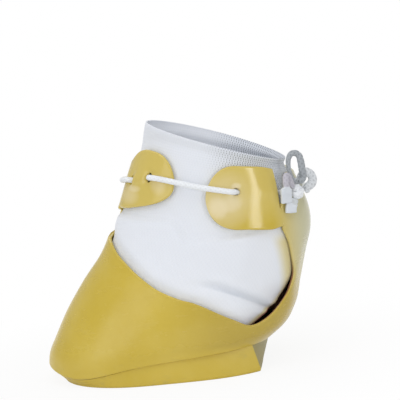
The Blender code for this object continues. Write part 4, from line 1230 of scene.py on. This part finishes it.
# %% [markdown]
# ## The sock's finish
# The sock is a thin open weave of bleached cotton. Two sets of ribs cross, with small holes between them
# that hardly show, except at the top of the heel, where holes and cloth are painted darker and greyer as
# painted shade. Beside the counter's edge and above the crease the cloth is tinted yellow, as painted
# light thrown back from the moulding, and a soft painted shadow runs along the fold. The pattern follows
# the piece's own UV map, in metres, so that it lies on the cloth. Below a crease at the heel the cloth is
# painted dark, as the shade of the gap.

# %% White weave
MESH_PITCH = 2.2 * MM
CREASE_LEVEL, CREASE_SLOPE, CREASE_TURN = 0.108, 0.0056, 127.0


def sock_weave():
    """Two crossing sine waves make the ribs and, times each other, the holes. Layers of colour by place,
    several of them painted light and shade.
    """
    graph = Graph(bpy.data.materials.new("sock_weave"))
    uv, place = graph.uv(), graph.place()
    (across, rise), (x, z) = graph.axes(uv, 0, 1), graph.axes(place, 0, 2)
    wave = 2 * np.pi / MESH_PITCH
    row_shift = (rise * (wave / 2)).math("SINE").math("SIGN") * (np.pi / 2)
    one, two = (across * wave + row_shift).math("SINE"), (rise * wave).math("SINE")
    yarn = graph.noise(graph.stretch(uv, (900.0, 2600.0, 1.0)), 1.0, 2.0)
    folds = graph.noise(place, 26.0, 3.0, 0.55)
    clouds = graph.noise(place, 9.0, 2.0)
    turn, level = (side * float(1 / scale) for side, scale in zip((across, rise), SKIN_SCALE, strict=True))
    # Painted shade at the top of the heel: the holes show dark and the cloth greyer there.
    shaded_top = x.ramp(48 * MM, 78 * MM) * z.ramp(112 * MM, 126 * MM)
    near_side = turn.ramp(118.0, 126.0) * turn.fade(175.0, 185.0)
    below = level * -1 + turn * CREASE_SLOPE + (CREASE_LEVEL - CREASE_SLOPE * CREASE_TURN)
    # Painted light: yellow thrown back from the moulding onto the cloth beside the counter's edge and above
    # the crease.
    edge_turn = 169.5 - level * 52.0
    beside_edge = (turn - edge_turn).ramp(-11.0, 0.0) * near_side * level.fade(0.55, 0.64)
    yellow_bounce = (beside_edge + below.ramp(-0.06, 0.0) * near_side).math("MINIMUM", 1.0)
    above_fold = level + turn * 0.00475 - 0.848
    shadow = above_fold.ramp(-0.002, 0.012) * above_fold.fade(0.012, 0.07)
    white = graph.blend(
        (0.790, 0.825, 0.900),
        (clouds.ramp(0.3, 0.7), (0.830, 0.860, 0.920)),
        (yarn.ramp(0.3, 0.7) * 0.35, (0.86, 0.87, 0.89)),
        (yellow_bounce * 0.8, (0.72, 0.61, 0.22)),
        ((one * two).ramp(0.2, 0.75) * (0.03 + shaded_top * 0.9), (0.11, 0.12, 0.14)),
        (shaded_top * 0.25, (0.56, 0.62, 0.70)),
        (shadow * turn.ramp(90.0, 112.0) * turn.fade(135.0, 150.0) * 0.5, (0.52, 0.57, 0.65)),
        (below.ramp(0.0, 0.014) * near_side * 0.95, (0.34, 0.09, 0.065)),
    )
    relief = (one.math("ABSOLUTE") + two.math("ABSOLUTE")) * 0.5 + yarn * 0.5 + folds * 1.2
    return graph.finish(
        Base_Color=white,
        Roughness=0.92,
        Sheen_Weight=0.2,
        Sheen_Roughness=0.6,
        Normal=graph.bump(relief, 0.3 * MM, 0.35),
    )


weave = sock_weave()

# %% [markdown]
# ## The sock
# The sock is a bag that follows the foot: tight under the flaps, pressed in where the lace pulls on
# it, and drawn back from the counter at the heel, which leaves a dark gap. A few soft folds run from
# the heel forwards. It is one closed sheet of cloth with an open top.

# %% How deep the cloth lies
SOCK_DEPTH, RIM_DEPTH, SOCK_THICKNESS = 4.0 * MM, 0.8 * MM, 1.1 * MM
LACE_DENT, HEEL_SETBACK, WINDOW_FULL = 4.9 * MM, 4.5 * MM, 2.2 * MM
FOLD_DEPTH, CREASE_DEPTH, RIPPLE, SOFT_WIDTH = 1.4 * MM, 6 * MM, 0.35 * MM, 3.2 * MM
# Turns where a form of the cloth is there: from, to, ease in, ease out. A pair is from and ease.
DENTS = ((12, 52, 6, 6), (98, 146, 6, 6))
FOLD_TURNS, CREASE_TURNS, RIPPLE_TURNS = (88, 163, 14, 10), (121, 184, 8, 10), (10, 150, 20, 20)
FULL_TURNS, FULL_TOP, FULL_TOP_DROP, FULL_TOP_TURNS = (-10, 128, 8, 20), 0.745, 0.09, (66, 16)
BEHIND_TURNS, BEHIND_LEVELS, BEHIND_EASE = (112, 25), (0.36, 0.62), 0.16
CREASE_DROP, CREASE_DROP_TURNS, CREASE_EASE = 0.028, (152, 14), 0.025
FOLD_LINE = ((88, 0.43), (94, 0.41), (101.5, 0.387), (112.5, 0.323), (125, 0.257), (140, 0.185), (155, 0.17))
FLARE = ((0, 0.925), (20, 0.955), (35, 0.966), (100, 0.970), (127, 0.976), (150, 0.982), (180, 0.982))


def sock_depth(turn, level):
    """How deep the cloth's outer face lies: full in the window, dented by the lace, drawn back at the heel.

    Each part is a depth times plateaus of the turn and the level, and the fold is a hill between two
    shallow valleys. Towards the rim the sum goes over to the rim's own depth.
    """
    signed = (turn + 180) % 360 - 180
    round_turn = np.abs(signed)
    from_lace = (level - along(LACE_LEVELS, signed)) / level_of(SOFT_WIDTH)
    dent = sum(plateau(signed, *turns) for turns in DENTS) * hill(from_lace)
    behind = ease((round_turn - BEHIND_TURNS[0]) / BEHIND_TURNS[1])
    behind = behind * ease((np.where(signed > 0, *BEHIND_LEVELS) - level) / BEHIND_EASE)
    fold_level = along(FOLD_LINE, np.clip(signed, FOLD_LINE[0][0], FOLD_LINE[-1][0]))
    side = (level - fold_level) / level_of(SOFT_WIDTH)
    fold = hill(side) - 0.7 * hill((side - 1.6) / 1.1) - 0.4 * hill((side + 1.8) / 1.3)
    drop = CREASE_DROP * ease((CREASE_DROP_TURNS[0] - signed) / CREASE_DROP_TURNS[1])
    crease_level = CREASE_LEVEL + CREASE_SLOPE * (signed - CREASE_TURN) - drop
    crease = ease((crease_level - level) / CREASE_EASE) * plateau(signed, *CREASE_TURNS)
    ripple = np.sin(np.radians(signed * 3.1) + 14 * level) * np.sin(9 * level + 0.6)
    full_top = FULL_TOP - FULL_TOP_DROP * ease((signed - FULL_TOP_TURNS[0]) / FULL_TOP_TURNS[1])
    full = plateau(level, vamp_top(np.clip(signed, 0, SEAM_TURN)), full_top, 0.05, 0.03)
    depth = SOCK_DEPTH + LACE_DENT * dent + HEEL_SETBACK * behind + CREASE_DEPTH * crease
    depth = depth + FOLD_DEPTH * fold * plateau(signed, *FOLD_TURNS)
    depth = depth + RIPPLE * ripple * plateau(signed, *RIPPLE_TURNS)
    depth = depth - WINDOW_FULL * full * plateau(signed, *FULL_TURNS)
    start = along(FLARE, round_turn)
    return depth + (RIM_DEPTH - depth) * ease((level - start) / (1 - start))


# %% The cloth's faces
UPWARDS = np.array([0, 0, 1.0])
FOOT_RAISED, RAISED_BELOW, RAISED_EASE = 0.9 * MM, 0.2, 0.15


def cloth(turn, level, depth):
    """The sock's face. Below the insole's level it turns in to the middle of the floor, by 2 s - s^2."""
    side_level = np.maximum(level, INSOLE_LEVEL)
    rim = skin(turn, side_level, sock_depth(turn, side_level) + depth)
    foot = skin(np.linspace(0, 360, 73)[:-1], INSOLE_LEVEL, SOCK_DEPTH)
    centre = foot.mean(0) + UPWARDS * FOOT_RAISED
    inward = np.clip(level / INSOLE_LEVEL, 0, 1)[..., None]
    share, below = inward * (2 - inward), (level < INSOLE_LEVEL)[..., None]
    floor_rim = skin(turn, INSOLE_LEVEL, sock_depth(turn, INSOLE_LEVEL) + depth)
    floor = centre + (floor_rim - centre) * share + depth[..., None] * UPWARDS * (1 - share)
    raised = FOOT_RAISED * ease((RAISED_BELOW - side_level) / RAISED_EASE)
    return np.where(below, floor, rim) + UPWARDS * raised[..., None]


rim_rows = [*np.linspace(0, 0.985, 130), 0.99, 0.994, 0.997, 0.999, 1]
floor_levels = INSOLE_LEVEL * np.linspace(0, 1, 14)[:-1]
side_levels = INSOLE_LEVEL + (1 - INSOLE_LEVEL) * np.array(rim_rows)
sock_places = grid_of(np.linspace(-180, 180, 181)[:, None], np.concatenate([floor_levels, side_levels]))
sock_places[:, 0, 0] = 0
sock = wall(
    "sock",
    cloth,
    sock_places.reshape(-1, 2),
    grid_quads(*sock_places.shape[:2]),
    [],
    weave,
    "sock_cloth",
    thickness=SOCK_THICKNESS,
    body="shoe",
    replaced=["sock"],
)
sock_turns, sock_levels = sock_places[..., 0], sock_places[..., 1]
middle_face = cloth(sock_turns, sock_levels, np.full(sock_turns.shape, SOCK_THICKNESS / 2))

# %% [markdown]
# ## Floor, background and light
# The photograph has a white ground and soft light from all round, with one tall soft lamp to the
# right of the camera that draws a pale stripe down the near flap. The white comes from what the
# camera's own rays see, so the lamps can stay low.

# %% Stage
FLOOR_HALF, FLOOR_FADE, FLOOR_NEAR_WHITE = 30.0, (0.08, 0.26), 0.9


def stage_finish():
    """A pale floor that the camera sees as white, but for a faint shadow near the shoe."""
    graph = Graph(bpy.data.materials.new("studio_floor"))
    distance = graph.node("VectorMath", {"operation": "LENGTH"}, [graph.place()], "Value")
    white = graph.seen_as("Camera", "Glossy") * distance.ramp(*FLOOR_FADE, FLOOR_NEAR_WHITE, 1.0)
    surface = Socket(graph, graph.shader.outputs[0])
    mix = graph.node("MixShader", {}, [white, surface, graph.node("Emission")])
    graph.put(graph.tree.nodes["Material Output"].inputs["Surface"], mix)
    return graph.finish(Base_Color=(0.86, 0.86, 0.86), Roughness=0.9)


floor_mesh = bpy.data.meshes.new("studio_floor")
corners = [(FLOOR_HALF * a, FLOOR_HALF * b, 0) for a, b in ((-1, -1), (1, -1), (1, 1), (-1, 1))]
floor_mesh.from_pydata(corners, [], [(0, 1, 2, 3)])
floor_mesh.materials.append(stage_finish())
floor = add("studio_floor", floor_mesh)
print("the floor is", 2 * FLOOR_HALF, "m wide")

# %% World and lamps
WORLD_LIGHT, WHITE = 0.555, 1.0
LAMPS = (
    ("right_strip", (40, 6), 1.6, (0.3, 0.5), 2.9),
    ("left_box", (-43, 12), 1.8, (1.2, 1.0), 5),
    ("overhead", (-15, 74), 2.2, (2.6, 2.6), 20),
    ("far_fill", (190, 35), 1.8, (1.2, 1.0), 3),
)

world = bpy.data.worlds.new("studio")
bpy.context.scene.world = world
sky = Graph(world, "Background")
sky.finish(Color=(1, 1, 1), Strength=sky.seen_as("Camera", "Transmission").ramp(0.0, 1.0, WORLD_LIGHT, WHITE))


def lamp(name, angles, distance, size, power):
    """A soft rectangular lamp that looks at the shoe from an azimuth and an elevation."""
    way = way_to(*np.radians(angles))
    light = bpy.data.lights.new(name, "AREA")
    light.shape, light.energy = "RECTANGLE", power
    light.size, light.size_y = size
    made = add(name, light)
    made.location = tuple(CAMERA_TARGET + way * distance)
    made.rotation_euler = Vector(way).to_track_quat("Z", "Y").to_euler()
    print(name, "at", np.round(made.location, 2), "m")


for placed in LAMPS:
    lamp(*placed)

bpy.context.scene.view_settings.view_transform = "Standard"
